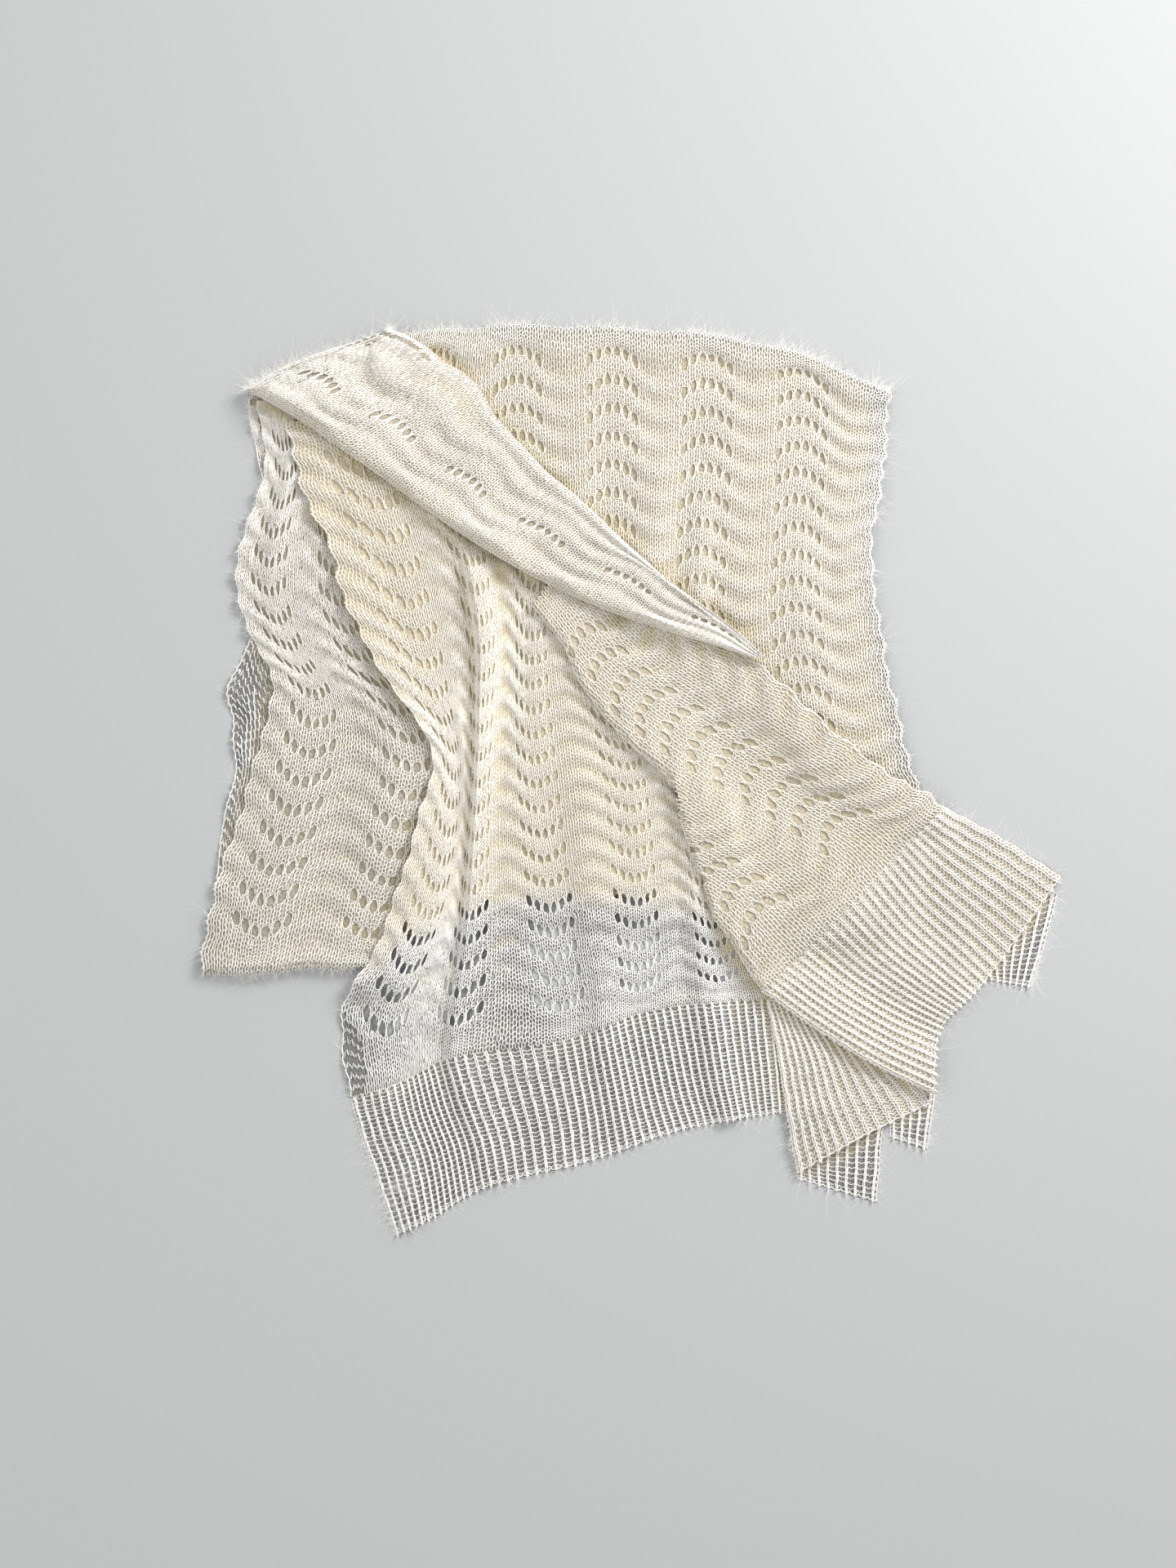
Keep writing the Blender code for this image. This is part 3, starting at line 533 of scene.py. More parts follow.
@dataclass(frozen=True)
class WoolFinish:
    """Brushed mohair: painted shade in folds and a painted tint by layer, fine fibre grain and a soft sheen."""

    name: str
    bright: tuple[float, float, float]
    warm: tuple[float, float, float]
    deep: tuple[float, float, float]
    grain_scale: float
    grain_depth: float
    net: float = 0.0

    def material(self) -> bpy.types.Material:
        """Make the node material.

        Colour goes from bright to warm with the warmth attribute, a painted tint for light scattered through the
        layers below, and on to deep with the second attribute, painted shade in folds, valleys and troughs. Two
        noises vary it.
        Fibre noise, and on cloth a net of strands, raise it.

        Returns:
            The material.
        """
        made, wool = new_surface(self.name, {
            "Roughness": 0.93, "Specular IOR Level": 0.18, "Sheen Weight": 0.35,
            "Sheen Roughness": 0.45, "Sheen Tint": (1.0, 0.97, 0.90, 1.0),
        })
        tree = made.node_tree
        place = add_node(tree, "TexCoord", {}).outputs["Object"]
        warmth, painted_shade = (add_node(tree, "Attribute", {}, attribute_name=name).outputs["Fac"]
                          for name in ("warmth", "painted_shade"))
        # Painted tint: towards the warm colour where many layers lie below, for light scattered through them
        colour = add_node(tree, "Mix", {"Factor": warmth, "A": (*self.bright, 1.0),
                                        "B": (*self.warm, 1.0)}, data_type="RGBA")
        # Painted shade: towards the deep colour in folds, valleys and troughs
        sunk = add_node(tree, "Mix", {"Factor": painted_shade, "A": colour.outputs["Result"],
                                      "B": (*self.deep, 1.0)}, data_type="RGBA")
        patches, fibres = (
            add_node(tree, "TexNoise", {"Vector": place, "Scale": scale, "Detail": 3.0}).outputs["Fac"]
            for scale in (26.0, self.grain_scale)
        )
        tone, grain = (
            add_node(tree, "MapRange", {"Value": noise, "To Min": low, "To Max": high}).outputs["Result"]
            for noise, low, high in ((patches, 0.93, 1.04), (fibres, 0.86, 1.10))
        )
        both = add_node(tree, "Math", {0: tone, 1: grain}, operation="MULTIPLY")
        shaded = add_node(tree, "VectorMath", {0: sunk.outputs["Result"],
                                               "Scale": both.outputs["Value"]}, operation="SCALE")
        relief = add_node(tree, "Bump", {"Height": fibres, "Distance": self.grain_depth,
                                         "Strength": 0.8})
        if self.net:
            strands = add_node(tree, "TexVoronoi", {"Vector": place, "Scale": self.net},
                               feature="DISTANCE_TO_EDGE")
            raised = add_node(tree, "MapRange", {"Value": strands.outputs["Distance"],
                                                 "From Max": 0.22, "To Min": 1.0, "To Max": 0.0})
            relief = add_node(tree, "Bump", {"Height": raised.outputs["Result"],
                                             "Normal": relief.outputs["Normal"],
                                             "Distance": 0.0007, "Strength": 0.9})
        tree.links.new(shaded.outputs["Vector"], wool.inputs["Base Color"])
        tree.links.new(relief.outputs["Normal"], wool.inputs["Normal"])
        return made


# Each finish has a bright colour, a warm colour that is a painted tint for light scattered through many layers, a
# deep colour that is painted shade, and then its fibre grain
YARN_FINISH = WoolFinish("mohair_yarn", (0.94, 0.93, 0.915), (0.95, 0.91, 0.845),
                         (0.88, 0.79, 0.58), 900.0, 0.0003)
# The ground sheet's colours are all painted shade: dark grey on one layer for the shaded floor seen between the
# stitches, tan on many layers for the shaded layers below, and darker still in folds
GROUND_PAINTED_SHADE = WoolFinish("mohair_ground_painted_shade", (0.22, 0.22, 0.215), (0.70, 0.62, 0.46),
                          (0.54, 0.45, 0.25), 1100.0, 0.0003, 300.0)
HALO_FINISH = WoolFinish("mohair_halo", (0.95, 0.94, 0.92), (0.95, 0.90, 0.81),
                         (0.90, 0.82, 0.62), 700.0, 0.0001)


def mesh_piece(name: str, points: Array, faces: list[Array], material: bpy.types.Material,
               values: dict[str, Array]) -> bpy.types.Object:
    """Make a smooth-shaded mesh object from arrays, with the points that no face uses left out.

    Args:
        name: Name of the piece.
        points: Vertices, shape (n, 3), in metres.
        faces: Arrays of corner numbers, one array for each number of corners.
        material: Its material.
        values: Numbers for each vertex, written as attributes.

    Returns:
        The object, with a bake map laid out as its plan.
    """
    used = np.zeros(len(points), bool)
    for group in faces:
        used[group.ravel()] = True
    number = np.cumsum(used) - 1
    points = points[used]
    corners = np.concatenate([number[group].ravel() for group in faces]).astype(np.int32)
    totals = np.concatenate([np.full(len(group), group.shape[1]) for group in faces])
    totals = totals.astype(np.int32)
    starts = np.concatenate(([0], np.cumsum(totals)[:-1])).astype(np.int32)
    mesh = bpy.data.meshes.new(name)
    mesh.vertices.add(len(points))
    mesh.vertices.foreach_set("co", points.astype(np.float32).ravel())
    mesh.loops.add(len(corners))
    mesh.loops.foreach_set("vertex_index", corners)
    mesh.polygons.add(len(totals))
    mesh.polygons.foreach_set("loop_start", starts)
    mesh.polygons.foreach_set("use_smooth", np.ones(len(totals), bool))
    low, high = points[:, :2].min(axis=0), points[:, :2].max(axis=0)
    plan = mesh.uv_layers.new(name="OFBake")
    flat = (points[:, :2] - low) / (high - low).max() * 0.98 + 0.01
    plan.data.foreach_set("uv", flat[corners].astype(np.float32).ravel())
    for key, value in values.items():
        layer = mesh.attributes.new(key, "FLOAT", "POINT")
        layer.data.foreach_set("value", np.ascontiguousarray(value[used], dtype=np.float32))
    mesh.update(calc_edges=True)
    mesh.validate()
    mesh.materials.append(material)
    obj = bpy.data.objects.new(name, mesh)
    bpy.context.scene.collection.objects.link(obj)
    return obj


def tube(points: Array, normals: Array, radius: Array, keep: Array) -> tuple[Array, Array]:
    """Carry a ridge profile along rows of points, open where it lies on the cloth.

    Each line of the profile has its crest out along the cloth's normal and a foot to each side
    below it, where side is the tangent crossed with the normal.

    Args:
        points: Centres, shape (rows, n, 3).
        normals: The cloth's normals there, same shape.
        radius: Radius at each centre, shape (rows, n).
        keep: Which of the spans between centres are made, shape (rows, n - 1).

    Returns:
        Vertices of all rings, shape (rows * n * 3, 3), and quads.
    """
    rows, count = points.shape[:2]
    ahead = np.gradient(points, axis=1)
    side = unit(np.cross(ahead, normals))
    reach = radius[..., None]
    ring = np.stack((
        points - normals * reach * 0.7 + side * reach,
        points + normals * reach,
        points - normals * reach * 0.7 - side * reach,
    ), axis=2)
    row, at = np.nonzero(keep)
    first = (row * count + at) * 3
    quads = [
        np.stack((first + k, first + k + 1, first + k + 4, first + k + 3), axis=1)
        for k in range(2)
    ]
    ring[..., 2] = np.maximum(ring[..., 2], 0.0001)
    return ring.reshape(-1, 3), np.concatenate(quads)


@dataclass
class Surroundings:
    """What the finished heap tells a piece: where it is covered, sunk or of many layers, from which its painted
    tint and painted shade are worked out.
    """

    mean_top: Array
    many: Array
    warmth: tuple[float, float] = PLAIN_WARMTH

    def values(self, points: Array, trough: Array | float = 0.0) -> dict[str, Array]:
        """Work out warmth, a painted tint for light scattered through the layers below, and painted shade from the
        height round about.

        Args:
            points: Places, shape (n, 3).
            trough: How far each lies down between the crests, from 0 to 1, which adds painted shade there.

        Returns:
            The two attributes, painted tint and painted shade.
        """
        x, y, z = points.T
        around = HeapMap.read(self.mean_top, x, y)
        least, most = self.warmth
        warm = least + (most - least) * np.clip(HeapMap.read(self.many, x, y), 0.0, 1.0)
        # Painted shade: deeper the further the cloth lies under the mean height round about, and more in the
        # troughs where many layers lie below
        deep = ease((around - z - 0.0005) / 0.0085) * 0.9
        return {"warmth": warm, "painted_shade": np.clip(deep + 0.25 * trough * warm, 0.0, 1.0)}


@dataclass
class Stretch:
    """One stretch of knitting: its sections, folds, pleats and stitches.

    A section line crosses the cloth and a station is a place on it in fan repeats. Rows are
    eyelet rows and courses are rows of stitches. A fold is a side, what its end lies on, its
    lift in metres and its reach in rows or repeats.
    """

    node: str
    sections: tuple
    stations: tuple
    rows: int
    flat: tuple[float, float]
    rests_on: tuple[str, ...]
    arc: float = 0.42
    pleats: tuple = ()
    ribs: int = 0
    courses: int = COURSES
    folds: dict = field(default_factory=dict)
    hidden: tuple = ()
    eyelet_rows: tuple[int, int] = (1, 0)
    on_floor: bool = False
    ripple: float = 1.0
    # Range of this stretch's painted tint for light scattered through the layers below
    warmth: tuple[float, float] = PLAIN_WARMTH
    soft_start: float = 0.0
    belly: float = 0.0

    def __post_init__(self) -> None:
        """Turn the tables into metres and find the row pitch along the middle line."""
        self.lines = np.array(self.sections, float) * MM + SHIFT
        stations = np.array(self.stations, float)
        if stations.ndim == 1:
            stations = np.broadcast_to(stations, self.lines.shape[:2])
        self.at = np.array(stations)
        middle = self.lines[:, self.lines.shape[1] // 2]
        length = np.concatenate(([0.0], np.cumsum(np.linalg.norm(np.diff(middle, axis=0), axis=1))))
        self.pitch = length[-1] / self.rows
        self.knots = length / self.pitch
        self.widest = (self.at[:, 0].min(), self.at[:, -1].max())
        self.borders: dict[Side, tuple[Array, Array, Array]] = {}
        self.ground = np.zeros(GRID)
        self.covered = np.zeros(GRID, bool)
        self.tops = self.tops_normals = np.empty((0, 3))

    def line_at(self, v: Array) -> tuple[Array, Array]:
        """Read the section line at places along the cloth.

        Args:
            v: Places along, in rows.

        Returns:
            Its points, shape (n, k, 2), and their stations, shape (n, k).
        """
        v = np.clip(v, -0.6 / self.courses, self.rows + 0.6 / self.courses)
        both = np.concatenate((self.lines, self.at[..., None]), axis=2)
        flat = both.reshape(1, len(self.knots), -1)
        values = soft_curve(np.broadcast_to(flat, (len(v), *flat.shape[1:])),
                            np.broadcast_to(self.knots, (len(v), len(self.knots))), v)
        values = values.reshape(len(v), -1, 3)
        return values[..., :2], values[..., 2]

    def plan(self, u: Array, v: Array) -> Array:
        """Find places in plan: a curve along the cloth, then one across it.

        Args:
            u: Places across, shape (n,).
            v: Places along.

        Returns:
            Places in metres, shape (n, 2).
        """
        line, stations = self.line_at(v)
        return soft_curve(line, stations, u)

    def limits(self, v: Array) -> tuple[Array, Array]:
        """Read the first and last station at places along the cloth.

        Args:
            v: Places along.

        Returns:
            The two stations at each place.
        """
        clipped = np.clip(v, 0.0, self.rows)
        return (np.interp(clipped, self.knots, self.at[:, 0]),
                np.interp(clipped, self.knots, self.at[:, -1]))

    def rise(self, u: Array, v: Array) -> Array:
        """Add up the folded borders' lift and each pleat: a soft ridge across, faded along.

        Args:
            u: Places across.
            v: Places along.

        Returns:
            Heights over the ground, in metres.
        """
        height = np.zeros(u.shape)
        first, _ = self.limits(v)
        for side, (_, lift, reach) in self.folds.items():
            away = {Side.FIRST_ROW: v, Side.LAST_ROW: self.rows - v,
                    Side.FIRST_SIDE: u - first}[side]
            if side is Side.LAST_ROW and self.soft_start:
                lift = lift * (0.05 + 0.95 * ease((u - 0.6) / self.soft_start))
            height = np.maximum(height, lift * ease(1.0 - away / reach))
        if self.belly:
            inside = ease(np.minimum(v, self.rows - v) / 1.6 + 0.25)
            taper = 0.5 + 0.5 * ease((self.widest[1] - u) / 1.3)
            height = np.maximum(height, self.belly * inside) * taper
        for place, left, right, begin_high, end_high, begin, end in self.pleats:
            ridge = ease(1.0 - np.abs(u - place) / np.where(u < place, left, right))
            part = np.clip((v - begin) / (end - begin), 0.0, 1.0)
            size = (begin_high + (end_high - begin_high) * part) * MM
            height = height + ridge * size * ease((v - begin) / 2.0) * ease((end - v) / 2.0)
        return height

    def wall(self, u: Array, v: Array) -> Array:
        """Find the wall: crests half-way between eyelet rows, higher between fans, or ribs.

        Args:
            u: Places across.
            v: Places along.

        Returns:
            Its thickness in metres.
        """
        if self.ribs:
            return THIN + (THICK - THIN) * self.crest(u, v) ** 1.5 * (0.5 + 0.7 * ease(v * 2.0))
        beside = 1.0 + self.ripple * (0.5 + 0.5 * np.cos(2.0 * np.pi * u)) ** 2
        return THIN + (CREST - THIN) * self.crest(u, v) * beside

    def crest(self, u: Array, v: Array) -> Array:
        """Tell how near places are to a crest, by a raised cosine.

        Args:
            u: Places across.
            v: Places along.

        Returns:
            0 in an eyelet row or between ribs, up to 1 on a crest.
        """
        if self.ribs:
            return 0.5 - 0.5 * np.cos(2.0 * np.pi * u / self.widest[1] * self.ribs)
        return 0.5 - 0.5 * np.cos(2.0 * np.pi * (v - EYELET_AT))

    def read_borders(self, heap: HeapMap) -> None:
        """Work out each folded border's radius and centre height, smoothed along it.

        Args:
            heap: Maps of the ground under this group.
        """
        self.ground = heap.wide
        for side, (base, _, _) in self.folds.items():
            if side is Side.FIRST_SIDE:
                along = np.linspace(0.0, self.rows, 61)
                u, v = self.limits(along)[0], along
            else:
                along = np.linspace(*self.widest, 61)
                u, v = along, np.full(61, 0.0 if side is Side.FIRST_ROW else self.rows)
            x, y = self.plan(u, v).T
            ground = 0.0 if self.on_floor else heap.read(heap.wide, x, y)
            top = ground + self.rise(u, v)
            low = heap.read(heap.near if base is Base.FLOOR else heap.close, x, y)
            weights = np.ones(7) / 7.0
            top, low = (np.convolve(np.pad(values, 3, mode="edge"), weights, "valid")
                        for values in (top, low + np.zeros(61)))
            radius = np.maximum((top - low - REST_COS * THIN) / (1.0 + REST_COS), 0.0008) + THIN
            self.borders[side] = (along, radius, low + REST_COS * radius)

    def surface(self, u: Array, v: Array, sunk: Array | float) -> Array:
        """Find the cloth in space: plan by the sections, height by ground, pleats and wall.

        A fan bows its courses by a cosine of the place across. Within one radius of a folded
        border the cloth runs round a circle, out by the cosine and up by the sine of the
        angle, and past the border it goes on round below.

        Args:
            u: Places across, in repeats.
            v: Places along, in rows.
            sunk: Depth below the outer face.

        Returns:
            Points in metres, shape (..., 3).
        """
        shape = u.shape
        u, v = u.ravel().astype(float), v.ravel().astype(float)
        sunk = np.broadcast_to(sunk, shape).ravel()
        fade = ease(v / 1.5) * ease((self.rows - v) / 1.5)
        bowed = v + self.arc * np.cos(2.0 * np.pi * (u - 0.5)) * fade
        if self.ribs:
            bowed = v
        first, last = self.limits(bowed)
        height_u, height_v = np.clip(u, first, last), np.clip(v, 0.0, self.rows)
        flat_u, flat_v = u.copy(), bowed.copy()
        limit = np.full(u.shape, np.inf)
        for side, (along, radii, centres) in self.borders.items():
            key = np.clip(bowed, 0.0, self.rows) if side is Side.FIRST_SIDE else u
            radius, centre = np.interp(key, along, radii), np.interp(key, along, centres)
            if side is Side.FIRST_SIDE:
                edge = self.plan(first, np.clip(bowed, 0, self.rows))
                beside = self.plan(first + 0.1, np.clip(bowed, 0, self.rows))
                scale = np.linalg.norm(beside - edge, axis=1) / 0.1
                away = (u - first) * scale
            else:
                scale = self.pitch
                away = (bowed if side is Side.FIRST_ROW else self.rows - bowed) * scale
            angle = np.clip(away / radius, -0.70, 1.0) * np.pi / 2.0
            turned = radius - (radius - sunk) * np.cos(angle)
            moved = np.where(away < radius, turned, away) / scale
            if side is Side.FIRST_SIDE:
                flat_u = first + moved
            elif side is Side.FIRST_ROW:
                flat_v = moved
            else:
                flat_v = self.rows - moved
            round_top = np.minimum(limit, centre + (radius - sunk) * np.sin(angle))
            limit = np.where(away < radius, round_top, limit)
        past = 0.6 / self.courses
        flat_v = np.clip(flat_v + self.dents(u, bowed), 0.0 if Side.FIRST_ROW in self.folds else -past,
                         self.rows + (0.0 if Side.LAST_ROW in self.folds else past))
        plan = self.plan(flat_u + self.swing(flat_u, flat_v), flat_v)
        ground = 0.0 if self.on_floor else HeapMap.read(self.ground, plan[:, 0], plan[:, 1])
        level = ground + self.rise(height_u, height_v) + self.wall(u, v) - sunk
        result = np.column_stack((plan, np.maximum(np.minimum(level, limit), LEAST_HEIGHT)))
        return result.reshape(*shape, 3)

    def swing(self, u: Array, v: Array) -> Array:
        """Swing an open side border out and in with the rows, two sines fading inwards.

        Args:
            u: Places across.
            v: Places along.

        Returns:
            The shift across, in repeats.
        """
        first, last = self.limits(v)
        size = 0.004 if self.ribs else 0.017
        out = size * (np.sin(2.0 * np.pi * v) + 0.6 * np.sin(2.33 * v + 1.3))
        near = ease(1.0 - (last - u) / 0.4)
        if Side.FIRST_SIDE not in self.folds:
            near = near - ease(1.0 - (u - first) / 0.4)
        return out * near

    def dents(self, u: Array, v: Array) -> Array:
        """Dent a folded border inwards at each fan, as a squared cosine fading over a row.

        Args:
            u: Places across.
            v: Places along.

        Returns:
            The shift along, in rows.
        """
        fans = 0.09 * (0.5 + 0.5 * np.cos(2.0 * np.pi * u)) ** 2 + 0.03 * np.sin(3.1 * u)
        shift = np.zeros(u.shape)
        if Side.FIRST_ROW in self.folds:
            shift = shift + fans * ease(1.0 - np.abs(v) / 1.2)
        if Side.LAST_ROW in self.folds:
            shift = shift - fans * ease(1.0 - np.abs(self.rows - v) / 1.2)
        return shift

    def eyelet(self, u: Array, v: Array) -> tuple[Array, Array, Array]:
        """Find each place's nearest eyelet.

        Args:
            u: Places across.
            v: Places along.

        Returns:
            Distance across and along in half sizes, 9 where there is none, and whether it is made.
        """
        whole = np.floor(u)
        order = np.clip(np.round((u - whole - EYELET_FIRST) / EYELET_STEP), 0, EYELETS - 1)
        across = (u - whole - EYELET_FIRST - order * EYELET_STEP) / EYELET_HALF[0]
        row = np.round(v - EYELET_AT)
        along = (v - EYELET_AT - row) / EYELET_HALF[1]
        first, last = self.limits(v)
        middle = whole + EYELET_FIRST + order * EYELET_STEP
        real = (row >= self.eyelet_rows[0]) & (row <= self.eyelet_rows[1])
        real &= (middle > first + 0.07) & (middle < last - 0.07) & (whole + 0.5 < last)
        if Side.FIRST_SIDE not in self.folds:
            real &= whole + 0.5 > first
        return np.where(real, across, 9.0), np.where(real, along, 9.0), real

    def opened(self, u: Array, v: Array) -> tuple[Array, Array]:
        """Push places out of the eyelets, so that the yarn crowds round their rims.

        Args:
            u: Places across.
            v: Places along.

        Returns:
            The moved places.
        """
        across, along, real = self.eyelet(u, v)
        distance = np.hypot(across, along)
        pushed = 1.0 + distance * (EYELET_RIM - 1.0) / EYELET_RIM
        near = real & (distance < EYELET_RIM)
        scale = np.where(near, pushed / np.maximum(distance, 0.02) - 1.0, 0.0)
        return u + across * scale * EYELET_HALF[0], v + along * scale * EYELET_HALF[1]

    def cloth_lines(self) -> tuple[Array, Array]:
        """List the sheet's lines across and along, with a pair at each eyelet.

        Returns:
            Places across in repeats, and places along in rows.
        """
        if self.ribs:
            across = np.linspace(0.0, self.widest[1], self.ribs * 4 + 1)
            count = max(int(self.rows * 4), 4)
            return across, np.linspace(0.0, self.rows, count + 1)
        middles = EYELET_FIRST + EYELET_STEP * np.arange(EYELETS)
        pairs = np.sort(np.concatenate((middles - EYELET_HALF[0], middles + EYELET_HALF[0])))
        one = np.concatenate(((0.0, 0.06, 0.12, 0.18), pairs, (0.82, 0.88, 0.94)))
        low, high = int(np.floor(self.widest[0])), int(np.ceil(self.widest[1]))
        across = (np.arange(low, high)[:, None] + one).ravel()
        across = across[(across > self.widest[0] + 0.01) & (across < self.widest[1] - 0.01)]
        across = np.concatenate(([self.widest[0]], across, [self.widest[1]]))
        step = EYELET_HALF[1]
        parts = EYELET_AT + np.array((-step, -step / 3, step / 3, step, 0.34, 0.49, 0.64))
        along = (np.arange(self.rows)[:, None] + parts).ravel()
        return across, np.concatenate(([0.0], along[along > 0.03], [float(self.rows)]))

    def cloth(self, around: Surroundings, material: bpy.types.Material) -> bpy.types.Object:
        """Make the thin sheet: a grid of its lines, five more at each folded border.

        Args:
            around: The finished heap.
            material: Its finish.

        Returns:
            The sheet's object.
        """
        across, along = self.cloth_lines()
        u, v = np.meshgrid(across, along)
        dx, dy, real = self.eyelet(u, v)
        corner = real & (np.abs(np.abs(dx) - 1.0) < 0.05) & (np.abs(np.abs(dy) - 1.0) < 0.05)
        u = u - np.where(corner, dx * 0.45 * EYELET_HALF[0], 0.0)
        first, last = self.limits(v)
        u = np.clip(u, first, last)
        if Side.FIRST_SIDE in self.folds:
            keys, radii, _ = self.borders[Side.FIRST_SIDE]
            edge = self.plan(first[:, 0], along)
            scale = np.linalg.norm(self.plan(first[:, 0] + 0.1, along) - edge, axis=1) / 0.1
            reach = (np.interp(along, keys, radii) / scale)[:, None]
            strip = first[:, :1] + reach * FOLD_LINES
            u = np.concatenate((strip, np.maximum(u, first[:, :1] + reach)), axis=1)
            v = np.concatenate((np.repeat(v[:, :1], 5, axis=1), v), axis=1)
        for side in (Side.FIRST_ROW, Side.LAST_ROW):
            if side in self.folds:
                keys, radii, _ = self.borders[side]
                edge_u = u[0] if side is Side.FIRST_ROW else u[-1]
                reach = np.interp(edge_u, keys, radii) / self.pitch
                strip = reach * FOLD_LINES[:, None]
                if side is Side.FIRST_ROW:
                    v = np.concatenate((strip, np.maximum(v, reach)))
                    u = np.concatenate((np.repeat(u[:1], 5, axis=0), u))
                else:
                    v = np.concatenate((np.minimum(v, self.rows - reach), self.rows - strip[::-1]))
                    u = np.concatenate((u, np.repeat(u[-1:], 5, axis=0)))
        points = self.surface(u, v, THIN * 0.9)
        quads = self.cells(points, self.kept(u, v, points), 0)
        flat = points.reshape(-1, 3)
        # Painted shade in the troughs between crests, with the painted tint by layer
        values = around.values(flat, 1.0 - self.crest(u, v).ravel())
        below, more = self.next_layer(around, len(flat))
        if len(more):
            lower = around.values(below)
            # The layer seen through the eyelets gets at most a little painted shade
            lower["painted_shade"] = np.minimum(lower["painted_shade"], 0.30)
            values = {key: np.concatenate((values[key], lower[key])) for key in values}
            flat, quads = np.concatenate((flat, below)), np.concatenate((quads, more))
        if self.faces_down(flat, quads):
            quads = quads[:, ::-1]
        return mesh_piece(self.node + "_cloth", flat, [quads], material, values)

    @staticmethod
    def cells(points: Array, keep: Array, start: int) -> Array:
        """List the corners of a grid's cells.

        Args:
            points: The grid, for its width.
            keep: Which cells are made.
            start: Number of the grid's first point.

        Returns:
            Quads, shape (n, 4).
        """
        count = points.shape[1]
        i, j = np.nonzero(keep)
        corner = start + i * count + j
        return np.stack((corner, corner + 1, corner + count + 1, corner + count), axis=1)

    def next_layer(self, around: Surroundings, start: int) -> tuple[Array, Array]:
        """Make the strips of the layer below that show through each fan's eyelets.

        Args:
            around: The finished heap, which tells where more layers lie below.
            start: Number of the first new point.

        Returns:
            Points and quads, none where a single layer lies on the floor.
        """
        points, quads = [np.empty((0, 3))], [np.empty((0, 4), int)]
        for fan in range(int(self.widest[0]), int(np.ceil(self.widest[1]))):
            for row in range(self.eyelet_rows[0], self.eyelet_rows[1] + 1):
                u, v = np.meshgrid(fan + np.linspace(0.19, 0.81, 9),
                                   row + EYELET_AT + np.linspace(-0.27, 0.27, 4))
                first, last = self.limits(v)
                grid = self.surface(np.clip(u, first, last), v, THIN * 0.9 + NEXT_LAYER)
                x, y = grid[1, 4, :2]
                single = HeapMap.read(around.many, x, y) < 0.6 and self.warmth[0] < 0.45
                if fan + 0.5 > last[0, 0] or single:
                    continue
                if self.hidden and within(self.hidden, x, y):
                    continue
                keep = np.linalg.norm(grid[1:, 1:] - grid[1:, :-1], axis=2) > 1e-4
                quads.append(self.cells(grid, keep, start))
                points.append(grid.reshape(-1, 3))
                start += grid.shape[0] * grid.shape[1]
        return np.concatenate(points), np.concatenate(quads)

    @staticmethod
    def faces_down(points: Array, quads: Array) -> bool:
        """Tell whether most quads have their outer side towards the floor.

        Args:
            points: The points.
            quads: Their quads.

        Returns:
            True if they have.
        """
        a, b, c = points[quads[:, 0]], points[quads[:, 1]], points[quads[:, 2]]
        return bool(np.cross(b - a, c - b)[:, 2].sum() < 0.0)

    def kept(self, u: Array, v: Array, points: Array) -> Array:
        """Choose the cells of the sheet that are made: shown, not folded flat and not open.

        Args:
            u: Places across of the grid.
            v: Places along.
            points: Its points.

        Returns:
            True for each cell made.
        """
        centre, middle_u, middle_v = (
            (values[1:, 1:] + values[:-1, 1:] + values[1:, :-1] + values[:-1, :-1]) / 4.0
            for values in (points, u, v)
        )
        shown = np.ones(centre.shape[:2], bool)
        if self.hidden:
            shown = ~within(self.hidden, centre[..., 0], centre[..., 1])
        across = np.linalg.norm(points[1:, 1:] - points[1:, :-1], axis=2)
        across = np.maximum(across, np.linalg.norm(points[:-1, 1:] - points[:-1, :-1], axis=2))
        along = np.linalg.norm(points[1:, 1:] - points[:-1, 1:], axis=2)
        along = np.maximum(along, np.linalg.norm(points[1:, :-1] - points[:-1, :-1], axis=2))
        shown &= (across > 1e-5) & (along > 1e-5)
        if not self.ribs:
            dx, dy, real = self.eyelet(middle_u, middle_v)
            shown &= ~(real & (np.abs(dx) < 0.5) & (np.abs(dy) < 0.95))
        return shown

    def knit(self, around: Surroundings, material: bpy.types.Material,
             chance: np.random.Generator) -> list[bpy.types.Object]:
        """Make the knitted courses, each one yarn that loops from stitch to stitch.

        Over a stitch the yarn's place across is the stitch's share plus a sine of twice the
        angle, its place along is minus the cosine, and its depth follows the cosine of twice
        the angle. The loops of a course pass through those of the one before. In ribs every
        other wale is purled: its yarn lies across as rungs, and see-through ribs have the
        knitted wales drawn together.

        Args:
            around: The finished heap.
            material: The yarn's finish.
            chance: Seeded source of the hand's unevenness.

        Returns:
            The objects, one or more.
        """
        per = self.ribs * 2 / self.widest[1] if self.ribs else STITCHES
        low = int(np.floor(self.widest[0] * per)) - 3
        high = int(np.ceil(self.widest[1] * per)) + 3
        below = 3 if Side.FIRST_ROW in self.folds else 0
        above = 3 if Side.LAST_ROW in self.folds else 0
        courses = np.arange(-below, self.rows * self.courses + above)
        count = (high - low) * BENDS + 1
        order = np.arange(count)
        angle = order * (2.0 * np.pi / BENDS)
        shape = (len(courses), count)
        uneven = chance.normal(0.0, 1.0, (2, len(courses), high - low + 1))
        uneven = np.repeat(uneven, BENDS, axis=2)[:, :, :count]
        radius = YARN * (1.0 + 0.10 * uneven[0].clip(-2, 2)) * np.ones(shape)
        u = low + order / BENDS + 0.12 * np.sin(2.0 * angle)
        sunk = SHALLOW + 0.00022 * np.cos(2.0 * angle)
        v = courses[:, None] + 0.5 - 0.80 * np.cos(angle)
        if self.ribs:
            purl = (np.floor(low + order / BENDS) % 2.0) == 1.0
